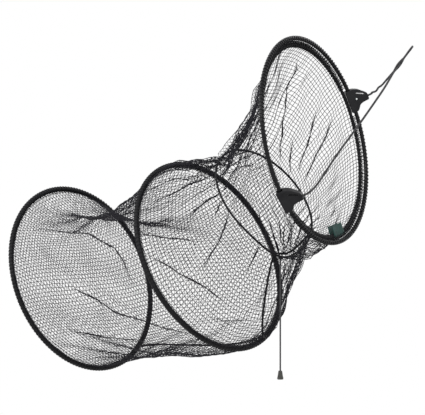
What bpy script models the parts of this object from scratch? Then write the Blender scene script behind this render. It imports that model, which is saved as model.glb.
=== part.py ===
"""Keep net: a tube of fine netting on three plastic hoops, closed at one end and hung from a cord bridle.

Metres, +Z up. The origin is the top of the hang loop. +X runs from the closed end towards the mouth.
Each hoop has a frame of its own: local +Z is its axis towards the mouth, local +X its upper side, and
angles round it run from +X towards +Y. What lies on a hoop is built in that frame.
"""
import math

import bmesh
import bpy
from mathutils import Matrix, Vector

# Clearances, and the sides of small round pieces
FIT_GAP = 0.0003
CUT_OVERRUN = 0.003
ROUND_SIDES = 12
SHARP_ANGLE = math.radians(40)

# Hoops: plastic tube bent to a ring, its ends butted over a spigot inside; the mouth's is a little larger
HOOP_RADIUS = 0.200
MOUTH_HOOP_RADIUS = 0.2075
HOOP_TUBE_RADIUS = 0.0042
HOOP_BORE_RADIUS = 0.0026
HOOP_SEGMENTS = 32
HOOP_SIDES = 8
HOOP_JOINT_ANGLE = math.radians(225)
SPIGOT_LENGTH = 0.044

# Where the hoops hang: centres, turn about the vertical and tilt of the axis above the horizon
MOUTH_CENTRE = (-0.192, -0.062, -0.180)
MOUTH_TURN = math.radians(10.1)
MOUTH_TILT = math.radians(10.5)
THROAT_FROM_MOUTH = (-0.077, -0.067, -0.118)
THROAT_TURN = math.radians(-3.3)
THROAT_TILT = math.radians(34)
MIDDLE_FROM_THROAT = (-0.109, -0.040, -0.113)
MIDDLE_TURN = math.radians(0.2)
MIDDLE_TILT = math.radians(23)
END_FROM_MIDDLE = (-0.378, 0.014, -0.054)
END_TURN = math.radians(-0.3)
END_TILT = math.radians(17.7)

# Hem sleeve round the middle and end hoops, slit on its inner side where the netting is sewn in
SLEEVE_WALL = 0.0012
SLEEVE_SLIT_ANGLE = math.radians(45)

# Mouth: the netting's rolled hem hangs inside and behind the hoop, held by a lacing cord
HEM_RADIUS = 0.0038
HEM_INSET = 0.012
HEM_SETBACK = 0.007
LACING_RADIUS = 0.0009
LACING_CLEARANCE = 0.0009
LACING_TURNS_LOWER = 11
LACING_TURNS_UPPER = 13
LACING_ARC_POINTS = 5
LACING_RUN_POINTS = 2
LACING_STITCH = 0.005
LACING_CLIP_MARGIN = 0.008

# Netting, as a coarse grid of flat strands
NET_THICKNESS = 0.0012
NET_STRAND = 0.0030
NET_COLUMNS = 20
MOUTH_NET_ROWS = 3
THROAT_NET_ROWS = 3
BODY_NET_ROWS = 6
NECK_LENGTH = 0.004
MOUTH_NET_PULL = 0.110
THROAT_NET_PULL = 0.120
BODY_NET_PULL = 0.340
MOUTH_NET_BAG = 0.030
THROAT_NET_BAG = 0.022
BODY_NET_BAG = 0.010
BODY_NET_SAG = 0.060

# Flat mesh that closes the end hoop
END_NET_PITCH = 0.050
END_NET_STRAND = 0.0018
END_NET_WARP_THICKNESS = 0.0014
END_NET_WEFT_THICKNESS = 0.0012
END_NET_RIM_WIDTH = 0.005
END_NET_RIM_THICKNESS = 0.0016

# Draw cord round the throat, its stopper knot, hanging tail and bell
THROAT_RADIUS = 0.120
DRAW_CORD_RADIUS = 0.0016
DRAW_CORD_STEPS_PER_COLUMN = 2
CORD_LEAST_STEP_SHARE = 0.3
KNOT_ANGLE = math.radians(165)
KNOT_PULL = 0.020
KNOT_PULL_ANGLE = math.radians(24)
KNOT_RADIUS = 0.0045
KNOT_GROOVE = 0.0006
KNOT_RIDGE_SHARES = (0.2, 0.36, 0.5, 0.64, 0.8)
KNOT_GROOVE_SHARES = (0.42, 0.58)
TAIL_LENGTH = 0.222
TAIL_POINTS = 26
BELL_LENGTH = 0.017
BELL_RADIUS = 0.0063
BELL_SHOULDER_RADIUS = 0.0035
BELL_BORE_DEPTH = 0.006
BELL_FLARE_SHARES = ((0.12, 0.20), (0.45, 0.45), (0.75, 0.85), (0.90, 1.0))
BELL_FOOT_SHARE = 0.86

# Lengthwise seam rope, angle on each hoop where it passes
SEAM_RADIUS = 0.0021
SEAM_STEPS_PER_ROW = 2
SEAM_LEAST_STEP_SHARE = 0.012
SEAM_CLEARANCE = 0.0006
SEAM_MOUTH_ANGLE = math.radians(160)
SEAM_THROAT_ANGLE = math.radians(172)
SEAM_MIDDLE_ANGLE = math.radians(209)
SEAM_END_ANGLE = math.radians(216)
MOUTH_SEAM_SHARES = (0.02, 0.93)
THROAT_SEAM_SHARES = (0.07, 0.985)
BODY_SEAM_SHARES = (0.01, 0.99)

# Bridle clips: two moulded halves screwed together round the hoop
CLIP_A_ANGLE = math.radians(295.3)
CLIP_A_SWING = math.radians(50.8)
CLIP_B_ANGLE = math.radians(126.7)
CLIP_B_SWING = math.radians(106.3)
CLIP_LENGTH = 0.048
CLIP_BACK = 0.0086
CLIP_REACH = 0.036
CLIP_NOSE_WIDTH = 0.015
CLIP_NOSE_SHIFT = -0.003
CLIP_BACK_HALF_THICKNESS = 0.0088
CLIP_NOSE_HALF_THICKNESS = 0.0056
CLIP_SHOULDER_SHARES = (0.80, 0.55)
CLIP_FLANK_SHARES = ((0, 0.67), (0.08, 0.40))
CLIP_HEEL_SHARE = 0.7
CLIP_CORNER_FILLET = 0.0028
CLIP_EDGE_FILLET = 0.0016
CLIP_SLOT_LENGTH = 0.021
CLIP_SLOT_WIDTH = 0.0026
CLIP_SLOT_CENTRE = (0.0085, 0.0215)
CLIP_SLOT_LEAN = math.radians(117)
CLIP_SLOT_END_POINTS = 5
CLIP_SCREW_AT = (0.0015, 0.0100)
SCREW_HEAD_RADIUS = 0.0028
SCREW_HEAD_HEIGHT = 0.0018
SCREW_CROWN_SHARES = (0.70, 0.35)
SCREW_SHANK_RADIUS = 0.0014
SCREW_SHANK_LENGTH = 0.0105
SCREW_SINK = 0.0010
SCREW_CLEARANCE = 0.0004

# Bridle: one cord from clip to clip, its two strands laid together below the hang loop
BRIDLE_RADIUS = 0.0021
BRIDLE_BORE_CLEARANCE = 0.0004
BRIDLE_BORE_DEPTH = 0.009
BRIDLE_ENTRY = 0.006
BRIDLE_LEAN_TURN = math.radians(41.5)
BRIDLE_LEAN_TILT = math.radians(53.3)
TWIST_START = 0.060
TWIST_RADIUS = 0.0026
TWIST_TURNS = 1.5
TWIST_POINTS = 14
TWIST_STRAIGHT = 0.004
EYE_RADIUS = 0.0085
EYE_FOOT = 0.024
EYE_ARC_POINTS = 9
EYE_START_ANGLE = math.radians(-35)
EYE_SPAN_ANGLE = math.radians(250)
CORD_SPACING = 0.0075

# Folded label over the hem, blank on both sides
LABEL_AFTER_TURN = 3
LABEL_SHIFT = 0.005
LABEL_WIDTH = 0.030
LABEL_LEG = 0.022
LABEL_THICKNESS = 0.0010
LABEL_BEND_POINTS = 7


# Frames and placing

def ring_frame(centre, turn, tilt):
    """Frame of a hoop: local +Z along its axis to the mouth, local +X up the hoop's plane."""
    axis = Vector((math.cos(tilt) * math.cos(turn), math.cos(tilt) * math.sin(turn), math.sin(tilt)))
    up = (Vector((0, 0, 1)) - axis * axis.z).normalized()
    side = axis.cross(up)
    frame = Matrix((up, side, axis)).transposed().to_4x4()
    frame.translation = centre
    return frame


MOUTH = ring_frame(Vector(MOUTH_CENTRE), MOUTH_TURN, MOUTH_TILT)
THROAT = ring_frame(MOUTH.translation + Vector(THROAT_FROM_MOUTH), THROAT_TURN, THROAT_TILT)
MIDDLE = ring_frame(THROAT.translation + Vector(MIDDLE_FROM_THROAT), MIDDLE_TURN, MIDDLE_TILT)
END = ring_frame(MIDDLE.translation + Vector(END_FROM_MIDDLE), END_TURN, END_TILT)
STEP = 2 * math.pi / HOOP_SEGMENTS


def ring_point(hoop_radius, angle, radial, axial):
    """Point beside a hoop's tube in its frame, on the facets that all that rides on the hoop shares."""
    radius = hoop_radius * math.cos(STEP / 2) / math.cos(angle % STEP - STEP / 2) + radial
    return Vector((radius * math.cos(angle), radius * math.sin(angle), axial))


def ring_angles(start, end):
    """Angles from start to end that stop at every corner of the faceted ring between them."""
    first = math.floor(start / STEP + 1)
    last = math.ceil(end / STEP - 1)
    return [start] + [corner * STEP for corner in range(first, last + 1)] + [end]


def polygon(radius, sides, centre=(0, 0)):
    """Round outline with a flat facing each way, as (radial, axial) points."""
    turns = [(index + 0.5) * 2 * math.pi / sides for index in range(sides)]
    return [(centre[0] + radius * math.cos(turn), centre[1] + radius * math.sin(turn)) for turn in turns]


# Objects and materials

def material(name, colour, roughness, metallic=0.0):
    """Principled material of one colour."""
    made = bpy.data.materials.new(name)
    made.use_nodes = True
    shader = made.node_tree.nodes["Principled BSDF"]
    shader.inputs["Base Color"].default_value = (*colour, 1)
    shader.inputs["Roughness"].default_value = roughness
    shader.inputs["Metallic"].default_value = metallic
    return made


def add_object(name, data, frame, finish, smooth=True):
    """Links an object that holds the data, in the given frame."""
    made = bpy.data.objects.new(name, data)
    bpy.context.scene.collection.objects.link(made)
    made.matrix_world = frame
    made.data.materials.append(material(name, *finish))
    if smooth and made.type == "MESH":
        made.data.shade_smooth()
        made.data.set_sharp_from_angle(angle=SHARP_ANGLE)
    return made


def mesh_from(name, bm):
    """Turns a bmesh into a mesh with its faces pointing out."""
    bmesh.ops.recalc_face_normals(bm, faces=bm.faces)
    mesh = bpy.data.meshes.new(name)
    bm.to_mesh(mesh)
    bm.free()
    return mesh


def bridge(bm, first, second):
    """Quads between two rings of vertices with the same count."""
    count = len(first)
    for index in range(count):
        after = (index + 1) % count
        bm.faces.new((first[index], first[after], second[after], second[index]))


def add_ring(bm, points):
    """Vertices at the given points."""
    return [bm.verts.new(point) for point in points]


def sweep(bm, profile, hoop_radius, angles, closed=False):
    """Sweeps a (radial, axial) outline round the hoop's axis, capped unless it closes on itself."""
    rings = [add_ring(bm, [ring_point(hoop_radius, angle, *point) for point in profile]) for angle in angles]
    for first, second in zip(rings, rings[1:]):
        bridge(bm, first, second)
    if closed:
        bridge(bm, rings[-1], rings[0])
    else:
        bm.faces.new(rings[0])
        bm.faces.new(rings[-1])


def full_turn():
    """One angle for each corner of the faceted ring."""
    return [index * STEP for index in range(HOOP_SEGMENTS)]


def lathe(bm, profile, sides, frame=Matrix.Identity(4)):
    """Turns (radius, height) points round local Z; a point on the axis closes an end."""
    rings = []
    for radius, height in profile:
        if radius == 0:
            rings.append([bm.verts.new(frame @ Vector((0, 0, height)))])
            continue
        turns = [2 * math.pi * index / sides for index in range(sides)]
        places = [Vector((radius * math.cos(turn), radius * math.sin(turn), height)) for turn in turns]
        rings.append(add_ring(bm, [frame @ place for place in places]))
    for first, second in zip(rings, rings[1:]):
        if len(first) == 1 or len(second) == 1:
            pole, ring = (first, second) if len(first) == 1 else (second, first)
            for index in range(sides):
                bm.faces.new((pole[0], ring[index], ring[(index + 1) % sides]))
        else:
            bridge(bm, first, second)


def cord_curve(name, points, radius, finish, resolution=1, frame=Matrix.Identity(4)):
    """Round cord along the points, with filled caps."""
    curve = bpy.data.curves.new(name, "CURVE")
    curve.dimensions = "3D"
    curve.bevel_depth = radius
    curve.bevel_resolution = resolution
    curve.render_resolution_u = 0
    curve.use_fill_caps = True
    spline = curve.splines.new("POLY")
    spline.points.add(len(points) - 1)
    for place, point in zip(spline.points, points):
        place.co = (*point, 1)
    return add_object(name, curve, frame, finish, smooth=False)


def smooth_route(points, spacing):
    """Points at a steady spacing on a smooth curve through the route's own points."""
    ends = [points[0] * 2 - points[1]] + list(points) + [points[-1] * 2 - points[-2]]
    dense = []
    steps = 24
    for index in range(1, len(ends) - 2):
        before, start, stop, after = ends[index - 1:index + 3]
        for part in range(steps):
            t = part / steps
            dense.append(0.5 * (2 * start + (stop - before) * t
                                + (2 * before - 5 * start + 4 * stop - after) * t ** 2
                                + (3 * start - before - 3 * stop + after) * t ** 3))
    dense.append(points[-1].copy())
    lengths = [0.0]
    for first, second in zip(dense, dense[1:]):
        lengths.append(lengths[-1] + (second - first).length)
    count = max(2, round(lengths[-1] / spacing))
    route = []
    at = 0
    for index in range(count + 1):
        goal = lengths[-1] * index / count
        while at < len(dense) - 2 and lengths[at + 1] < goal:
            at += 1
        share = (goal - lengths[at]) / (lengths[at + 1] - lengths[at])
        route.append(dense[at].lerp(dense[at + 1], share))
    return route


# Finishes: colour, roughness, metallic
TUBE_FINISH = ((0.012, 0.012, 0.014), 0.32)
SPIGOT_FINISH = ((0.55, 0.55, 0.52), 0.45)
SLEEVE_FINISH = ((0.014, 0.013, 0.017), 0.60)
NET_FINISH = ((0.020, 0.018, 0.026), 0.65)
LACING_FINISH = ((0.020, 0.020, 0.024), 0.55)
CORD_FINISH = ((0.045, 0.045, 0.048), 0.70)
CLIP_FINISH = ((0.036, 0.036, 0.039), 0.42)
SCREW_FINISH = ((0.62, 0.64, 0.64), 0.28, 1.0)
LABEL_FINISH = ((0.004, 0.045, 0.036), 0.75)
BELL_FINISH = ((0.050, 0.050, 0.042), 0.50)


# Hoops

def hoop(name, frame, radius):
    """Plastic tube bent to a ring, open at the joint so that its bore runs right through."""
    half_gap = FIT_GAP / 2 / radius
    angles = ring_angles(HOOP_JOINT_ANGLE + half_gap, HOOP_JOINT_ANGLE + 2 * math.pi - half_gap)
    bm = bmesh.new()
    outer, inner = ([add_ring(bm, [ring_point(radius, angle, *point) for point in polygon(size, HOOP_SIDES)])
                     for angle in angles] for size in (HOOP_TUBE_RADIUS, HOOP_BORE_RADIUS))
    for first, second in zip(outer, outer[1:]):
        bridge(bm, first, second)
    for first, second in zip(inner, inner[1:]):
        bridge(bm, second, first)
    bridge(bm, inner[0], outer[0])
    bridge(bm, outer[-1], inner[-1])
    add_object(name, mesh_from(name, bm), frame, TUBE_FINISH)


def spigot(name, frame, radius):
    """Solid plug inside the hoop's two ends."""
    half_angle = SPIGOT_LENGTH / 2 / radius
    bm = bmesh.new()
    sweep(bm, polygon(HOOP_BORE_RADIUS - FIT_GAP, HOOP_SIDES), radius,
          ring_angles(HOOP_JOINT_ANGLE - half_angle, HOOP_JOINT_ANGLE + half_angle))
    add_object(name, mesh_from(name, bm), frame, SPIGOT_FINISH)


SLEEVE_INNER_RADIUS = HOOP_TUBE_RADIUS + FIT_GAP
SLEEVE_OUTER_RADIUS = SLEEVE_INNER_RADIUS + SLEEVE_WALL


def hem_sleeve(name, frame):
    """Hem folded round a hoop, its two edges meeting the netting at the slit on the inner side."""
    span = 2 * math.pi - SLEEVE_SLIT_ANGLE
    turns = [-span / 2 + span * index / (HOOP_SIDES - 1) for index in range(HOOP_SIDES)]
    outer = [(SLEEVE_OUTER_RADIUS * math.cos(turn), SLEEVE_OUTER_RADIUS * math.sin(turn)) for turn in turns]
    inner = [(SLEEVE_INNER_RADIUS * math.cos(turn), SLEEVE_INNER_RADIUS * math.sin(turn)) for turn in turns]
    bm = bmesh.new()
    sweep(bm, outer + inner[::-1], HOOP_RADIUS, full_turn(), closed=True)
    add_object(name, mesh_from(name, bm), frame, SLEEVE_FINISH)


# Mouth hem, lacing and label

HEM_CENTRE = (-HEM_INSET, -HEM_SETBACK)


def mouth_hem():
    """The netting's edge rolled into a rope, inside and behind the mouth hoop."""
    bm = bmesh.new()
    sweep(bm, polygon(HEM_RADIUS, HOOP_SIDES, HEM_CENTRE), MOUTH_HOOP_RADIUS, full_turn(), closed=True)
    add_object("mouth_hem", mesh_from("mouth_hem", bm), MOUTH, SLEEVE_FINISH)


def lacing_outline():
    """One stitch of the lacing, from the hoop's outer side round the hem and back."""
    along = Vector(HEM_CENTRE).normalized()
    toward_hem = math.atan2(along.y, along.x)
    arcs = []
    for centre, tube, middle in ((Vector((0, 0)), HOOP_TUBE_RADIUS, toward_hem + math.pi),
                                 (Vector(HEM_CENTRE), HEM_RADIUS, toward_hem)):
        radius = tube + LACING_RADIUS + LACING_CLEARANCE
        shares = [index / (LACING_ARC_POINTS - 1) for index in range(LACING_ARC_POINTS)]
        turns = [middle + math.pi * (share - 0.5) for share in shares]
        arcs.append([centre + radius * Vector((math.cos(turn), math.sin(turn))) for turn in turns])
    hoop_arc, hem_arc = arcs
    outer = LACING_ARC_POINTS // 2
    return hoop_arc[outer:] + hem_arc + hoop_arc[:outer + 1]


LACING_MARGIN = (CLIP_LENGTH / 2 + LACING_CLIP_MARGIN) / MOUTH_HOOP_RADIUS
STITCH_ANGLE = LACING_STITCH / MOUTH_HOOP_RADIUS


def lacing_pitch(start, end, turns):
    """Angle from one stitch to the next."""
    return (end - start - STITCH_ANGLE) / (turns - 1)


def lacing_run(name, start, end, turns):
    """Lacing cord hitched round hoop and hem from one clip to the other; prints its least gap to itself."""
    outline = lacing_outline()
    pitch = lacing_pitch(start, end, turns)
    points = []
    for turn in range(turns):
        begin = start + pitch * turn
        for index, place in enumerate(outline):
            turned = begin + STITCH_ANGLE * index / (len(outline) - 1)
            points.append(ring_point(MOUTH_HOOP_RADIUS, turned, *place))
        for index in range(LACING_RUN_POINTS if turn < turns - 1 else 0):
            run = STITCH_ANGLE + (pitch - STITCH_ANGLE) * (index + 1) / (LACING_RUN_POINTS + 1)
            points.append(ring_point(MOUTH_HOOP_RADIUS, begin + run, *outline[0]))
    stitch = points[:len(outline)]
    least = min((first - second).length for first, second in zip(stitch[:2], stitch[-2:]))
    print(name, "least gap to itself", round((least - 2 * LACING_RADIUS) * 1000, 2), "mm")
    cord_curve(name, points, LACING_RADIUS, LACING_FINISH, resolution=0, frame=MOUTH)


LOWER_RUN = (CLIP_B_ANGLE + LACING_MARGIN, CLIP_A_ANGLE - LACING_MARGIN, LACING_TURNS_LOWER)
UPPER_RUN = (CLIP_A_ANGLE + LACING_MARGIN, CLIP_B_ANGLE + 2 * math.pi - LACING_MARGIN, LACING_TURNS_UPPER)


def lacing():
    """Two runs of lacing, one under the mouth and one over the top of it."""
    lacing_run("mouth_lacing_lower", *LOWER_RUN)
    lacing_run("mouth_lacing_upper", *UPPER_RUN)


def label_tag():
    """Folded cloth label hooked over the hem between two turns of lacing, standing in from it."""
    inner = HEM_RADIUS + FIT_GAP
    outer = inner + LABEL_THICKNESS
    turns = [math.pi * (index / (LABEL_BEND_POINTS - 1) - 0.5) for index in range(LABEL_BEND_POINTS)]
    hem = Vector(HEM_CENTRE)
    profile = [hem + outer * Vector((math.cos(turn), math.sin(turn))) for turn in turns]
    profile += [hem + Vector((-LABEL_LEG, outer)), hem + Vector((-LABEL_LEG, inner))]
    profile += [hem + inner * Vector((math.cos(turn), math.sin(turn))) for turn in reversed(turns)]
    pitch = lacing_pitch(*LOWER_RUN)
    middle = LOWER_RUN[0] + pitch * LABEL_AFTER_TURN + (pitch + STITCH_ANGLE) / 2
    middle += LABEL_SHIFT / MOUTH_HOOP_RADIUS
    half_angle = LABEL_WIDTH / 2 / MOUTH_HOOP_RADIUS
    bm = bmesh.new()
    sweep(bm, [tuple(point) for point in profile], MOUTH_HOOP_RADIUS,
          ring_angles(middle - half_angle, middle + half_angle))
    add_object("label_tag", mesh_from("label_tag", bm), MOUTH, LABEL_FINISH)


# Netting

def throat_radius(angle):
    """Radius of the draw cord's loop, pulled out at the knot."""
    away = (angle - KNOT_ANGLE + math.pi) % (2 * math.pi) - math.pi
    return THROAT_RADIUS + KNOT_PULL * math.exp(-(away / KNOT_PULL_ANGLE) ** 2)


NECK_INSET = DRAW_CORD_RADIUS + FIT_GAP + NET_THICKNESS / 2
LACING_BACK = HEM_SETBACK + HEM_RADIUS + 2 * LACING_RADIUS + LACING_CLEARANCE + FIT_GAP
SLEEVE_SIDE = SLEEVE_OUTER_RADIUS + FIT_GAP


def round_at(frame, radius, axial):
    """Point and outward direction on a ring of the netting, as functions of the angle."""
    def point(angle):
        reach = radius(angle)
        return frame @ Vector((reach * math.cos(angle), reach * math.sin(angle), axial))

    def outward(angle):
        return frame.to_3x3() @ Vector((math.cos(angle), math.sin(angle), 0))
    return point, outward, frame.to_3x3() @ Vector((0, 0, 1))


def hem_reach(_angle):
    """Radius of the netting behind the mouth's hem."""
    return MOUTH_HOOP_RADIUS - HEM_INSET


def hoop_reach(_angle):
    """Radius of the netting beside a hoop."""
    return HOOP_RADIUS


def neck_reach(angle):
    """Radius of the netting under the draw cord."""
    return throat_radius(angle) - NECK_INSET


MOUTH_BACK = round_at(MOUTH, hem_reach, -LACING_BACK)
THROAT_FRONT = round_at(THROAT, neck_reach, NECK_LENGTH)
THROAT_FRONT_EDGE = round_at(THROAT, neck_reach, FIT_GAP / 2)
THROAT_BACK_EDGE = round_at(THROAT, neck_reach, -FIT_GAP / 2)
THROAT_BACK = round_at(THROAT, neck_reach, -NECK_LENGTH)
MIDDLE_FRONT = round_at(MIDDLE, hoop_reach, SLEEVE_SIDE)
MIDDLE_BACK = round_at(MIDDLE, hoop_reach, -SLEEVE_SIDE)
END_FRONT = round_at(END, hoop_reach, SLEEVE_SIDE)

# Each section of netting: its two rings, how far each end runs along its axis, how far its low side bags
# and how far its high side sags
MOUTH_SECTION = (MOUTH_BACK, THROAT_FRONT, MOUTH_NET_PULL, MOUTH_NET_BAG, 0)
THROAT_SECTION = (THROAT_BACK, MIDDLE_FRONT, THROAT_NET_PULL, THROAT_NET_BAG, 0)
BODY_SECTION = (MIDDLE_BACK, END_FRONT, BODY_NET_PULL, BODY_NET_BAG, BODY_NET_SAG)


def net_point(section, angle, share):
    """Point on a section of netting, a share of the way from its mouth side to its end side."""
    (start, start_out, start_axis), (stop, stop_out, stop_axis), pull, bag, sag = section
    t = share
    place = (start(angle) * (2 * t ** 3 - 3 * t ** 2 + 1) - start_axis * pull * (t ** 3 - 2 * t ** 2 + t)
             + stop(angle) * (3 * t ** 2 - 2 * t ** 3) - stop_axis * pull * (t ** 3 - t ** 2))
    outward = start_out(angle).lerp(stop_out(angle), t).normalized()
    drop = (sag if outward.z > 0 else bag) * outward.z ** 2
    place += Vector((0, 0, -1)) * drop * 4 * t * (1 - t)
    return place


NET_STEP = 2 * math.pi / NET_COLUMNS


def facet_point(section, rows, angle, share):
    """Point on the netting's own facets, for what lies on them."""
    column = math.floor(angle / NET_STEP)
    row = max(0, min(math.floor(share * rows), rows - 1))
    across = angle / NET_STEP - column
    near, far = (net_point(section, column * NET_STEP, (row + step) / rows).lerp(
        net_point(section, (column + 1) * NET_STEP, (row + step) / rows), across) for step in (0, 1))
    return near.lerp(far, share * rows - row)


def facet_normal(section, rows, angle, share):
    """Outward direction of the netting's facets, evened out over a crease between two rows."""
    even = 1 / (4 * rows)
    turn = NET_STEP / 4
    along = facet_point(section, rows, angle, share + even) - facet_point(section, rows, angle, share - even)
    around = facet_point(section, rows, angle + turn, share) - facet_point(section, rows, angle - turn, share)
    return along.cross(around).normalized()


def wall_normal(rings, row, column):
    """Outward direction at a corner of the netting, square to the folds on both its sides."""
    here = rings[row][column]
    before = rings[max(row - 1, 0)][column]
    after = rings[min(row + 1, len(rings) - 1)][column]
    along = (here - before).normalized() + (after - here).normalized()
    around = rings[row][(column + 1) % NET_COLUMNS] - rings[row][column - 1]
    return along.cross(around).normalized()


def strand_corner(rings, row, column, down, right):
    """Corner of the opening on one side of a crossing of strands, in the netting's middle surface."""
    here = rings[row][column]
    along = rings[row + down][column] - here
    around = rings[row][(column + right) % NET_COLUMNS] - here
    return here + (along.normalized() + around.normalized()) * NET_STRAND / 2


def wall_vertices(bm, rings, first, last, offset):
    """One side of the netting: a vertex at each crossing of the edge rows, and the openings' corners."""
    at = {}
    for row in range(len(rings)):
        for column in range(NET_COLUMNS):
            out = wall_normal(rings, row, column) * offset
            if row <= first or row >= last:
                at[row, column] = bm.verts.new(rings[row][column] + out)
            for down in (-1, 1):
                for right in (-1, 1):
                    if first <= row <= last and first <= row + down <= last:
                        corner = strand_corner(rings, row, column, down, right)
                        at[row, column, down, right] = bm.verts.new(corner + out)
    return at


def strand_faces(bm, at, first, last):
    """Flat faces of the strands on one side of the netting, round its openings."""
    for row in range(first, last + 1):
        for column in range(NET_COLUMNS):
            beside = (column + 1) % NET_COLUMNS
            if first < row < last:
                corners = ((-1, -1), (-1, 1), (1, 1), (1, -1))
                bm.faces.new([at[(row, column) + corner] for corner in corners])
                bm.faces.new((at[row, column, -1, 1], at[row, beside, -1, -1],
                              at[row, beside, 1, -1], at[row, column, 1, 1]))
            else:
                down = 1 if row == first else -1
                bm.faces.new((at[row, column], at[row, column, down, -1], at[row, column, down, 1]))
                bm.faces.new((at[row, column], at[row, column, down, 1],
                              at[row, beside, down, -1], at[row, beside]))
            if row < last:
                bm.faces.new((at[row, column, 1, -1], at[row, column, 1, 1],
                              at[row + 1, column, -1, 1], at[row + 1, column, -1, -1]))


def opening(at, row, column):
    """Corners round one opening on one side of the netting."""
    beside = (column + 1) % NET_COLUMNS
    return [at[row, column, 1, 1], at[row, beside, 1, -1],
            at[row + 1, beside, -1, -1], at[row + 1, column, -1, 1]]


def net_wall(name, section, rows, first_edge=None, last_edge=None):
    """Tube of flat strands, open at both ends, with a plain band where the draw cord grips it."""
    angles = [NET_STEP * column for column in range(NET_COLUMNS)]
    rings = [[net_point(section, angle, row / rows) for angle in angles] for row in range(rows + 1)]
    first = 0
    if first_edge:
        rings.insert(0, [first_edge[0](angle) for angle in angles])
        first = 1
    last = first + rows
    if last_edge:
        rings.append([last_edge[0](angle) for angle in angles])
    bm = bmesh.new()
    outer, inner = (wall_vertices(bm, rings, first, last, side * NET_THICKNESS / 2) for side in (1, -1))
    plain_rows = [row for row in range(len(rings) - 1) if not first <= row < last]
    for at in (outer, inner):
        strand_faces(bm, at, first, last)
        for row in plain_rows:
            bridge(bm, *([at[edge, column] for column in range(NET_COLUMNS)] for edge in (row, row + 1)))
    for row in range(first, last):
        for column in range(NET_COLUMNS):
            bridge(bm, opening(outer, row, column), opening(inner, row, column))
    for row in (0, len(rings) - 1):
        bridge(bm, *([at[row, column] for column in range(NET_COLUMNS)] for at in (outer, inner)))
    add_object(name, mesh_from(name, bm), Matrix.Identity(4), NET_FINISH)


def nets():
    """The three lengths of the netting tube, which the draw cord and the middle hoop part."""
    net_wall("mouth_net", MOUTH_SECTION, MOUTH_NET_ROWS, last_edge=THROAT_FRONT_EDGE)
    net_wall("throat_net", THROAT_SECTION, THROAT_NET_ROWS, first_edge=THROAT_BACK_EDGE)
    net_wall("body_net", BODY_SECTION, BODY_NET_ROWS)


def seam(name, section, rows, start_angle, stop_angle, start_share, stop_share):
    """Seam rope on the outside of a section of netting, bending where its facets do."""
    offset = NET_THICKNESS / 2 + SEAM_CLEARANCE + SEAM_RADIUS
    turn = stop_angle - start_angle
    steps = rows * SEAM_STEPS_PER_ROW
    shares = [index / steps for index in range(steps)]
    shares += [(column * NET_STEP - start_angle) / turn for column in range(2 * NET_COLUMNS)]
    places = [start_share]
    for share in sorted(shares + [stop_share]):
        if places[-1] + SEAM_LEAST_STEP_SHARE < share <= stop_share:
            places.append(share)
    points = [facet_point(section, rows, start_angle + turn * share, share)
              + offset * facet_normal(section, rows, start_angle + turn * share, share) for share in places]
    cord_curve(name, points, SEAM_RADIUS, SLEEVE_FINISH)


def seams():
    """Seam rope in three lengths, each stopping short of the draw cord and the hoops."""
    seam("mouth_seam", MOUTH_SECTION, MOUTH_NET_ROWS,
         SEAM_MOUTH_ANGLE, SEAM_THROAT_ANGLE, *MOUTH_SEAM_SHARES)
    seam("throat_seam", THROAT_SECTION, THROAT_NET_ROWS,
         SEAM_THROAT_ANGLE, SEAM_MIDDLE_ANGLE, *THROAT_SEAM_SHARES)
    seam("body_seam", BODY_SECTION, BODY_NET_ROWS,
         SEAM_MIDDLE_ANGLE, SEAM_END_ANGLE, *BODY_SEAM_SHARES)


def boolean(target, operation, other):
    """Leaves an exact Boolean on the target and hides the other object as its guide."""
    modifier = target.modifiers.new(operation.lower() + "_" + other.name, "BOOLEAN")
    modifier.operation = operation
    modifier.object = other
    modifier.solver = "EXACT"
    other.hide_render = True
    other.display_type = "WIRE"


def end_net():
    """Flat mesh in the end hoop: a rim in the sleeve's slit, with strands both ways across it."""
    outer = -(HOOP_TUBE_RADIUS + FIT_GAP)
    rim_half = END_NET_RIM_THICKNESS / 2
    rim_profile = [(outer, -rim_half), (outer, rim_half),
                   (outer - END_NET_RIM_WIDTH, rim_half), (outer - END_NET_RIM_WIDTH, -rim_half)]
    bm = bmesh.new()
    sweep(bm, rim_profile, HOOP_RADIUS, full_turn(), closed=True)
    rim = add_object("end_net", mesh_from("end_net", bm), END, NET_FINISH, smooth=False)
    reach = HOOP_RADIUS * math.cos(STEP / 2) + outer - END_NET_RIM_WIDTH / 2
    strands = int(reach / END_NET_PITCH)
    for name, thickness, turn in (("end_net_warp", END_NET_WARP_THICKNESS, 0),
                                  ("end_net_weft", END_NET_WEFT_THICKNESS, math.pi / 2)):
        bm = bmesh.new()
        for index in range(-strands, strands + 1):
            across = index * END_NET_PITCH
            half_length = math.sqrt(reach ** 2 - across ** 2)
            size = Matrix.Diagonal((2 * half_length, END_NET_STRAND, thickness, 1))
            bmesh.ops.create_cube(bm, size=1, matrix=Matrix.Rotation(turn, 4, "Z")
                                  @ Matrix.Translation((0, across, 0)) @ size)
        strand_mesh = mesh_from(name, bm)
        boolean(rim, "UNION", add_object(name, strand_mesh, END, NET_FINISH, smooth=False))


# Draw cord, knot, tail and bell

def knot_centre():
    """Middle of the stopper knot, outside the netting at the throat."""
    reach = throat_radius(KNOT_ANGLE) - DRAW_CORD_RADIUS + KNOT_RADIUS
    return THROAT @ Vector((reach * math.cos(KNOT_ANGLE), reach * math.sin(KNOT_ANGLE), 0))


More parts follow.
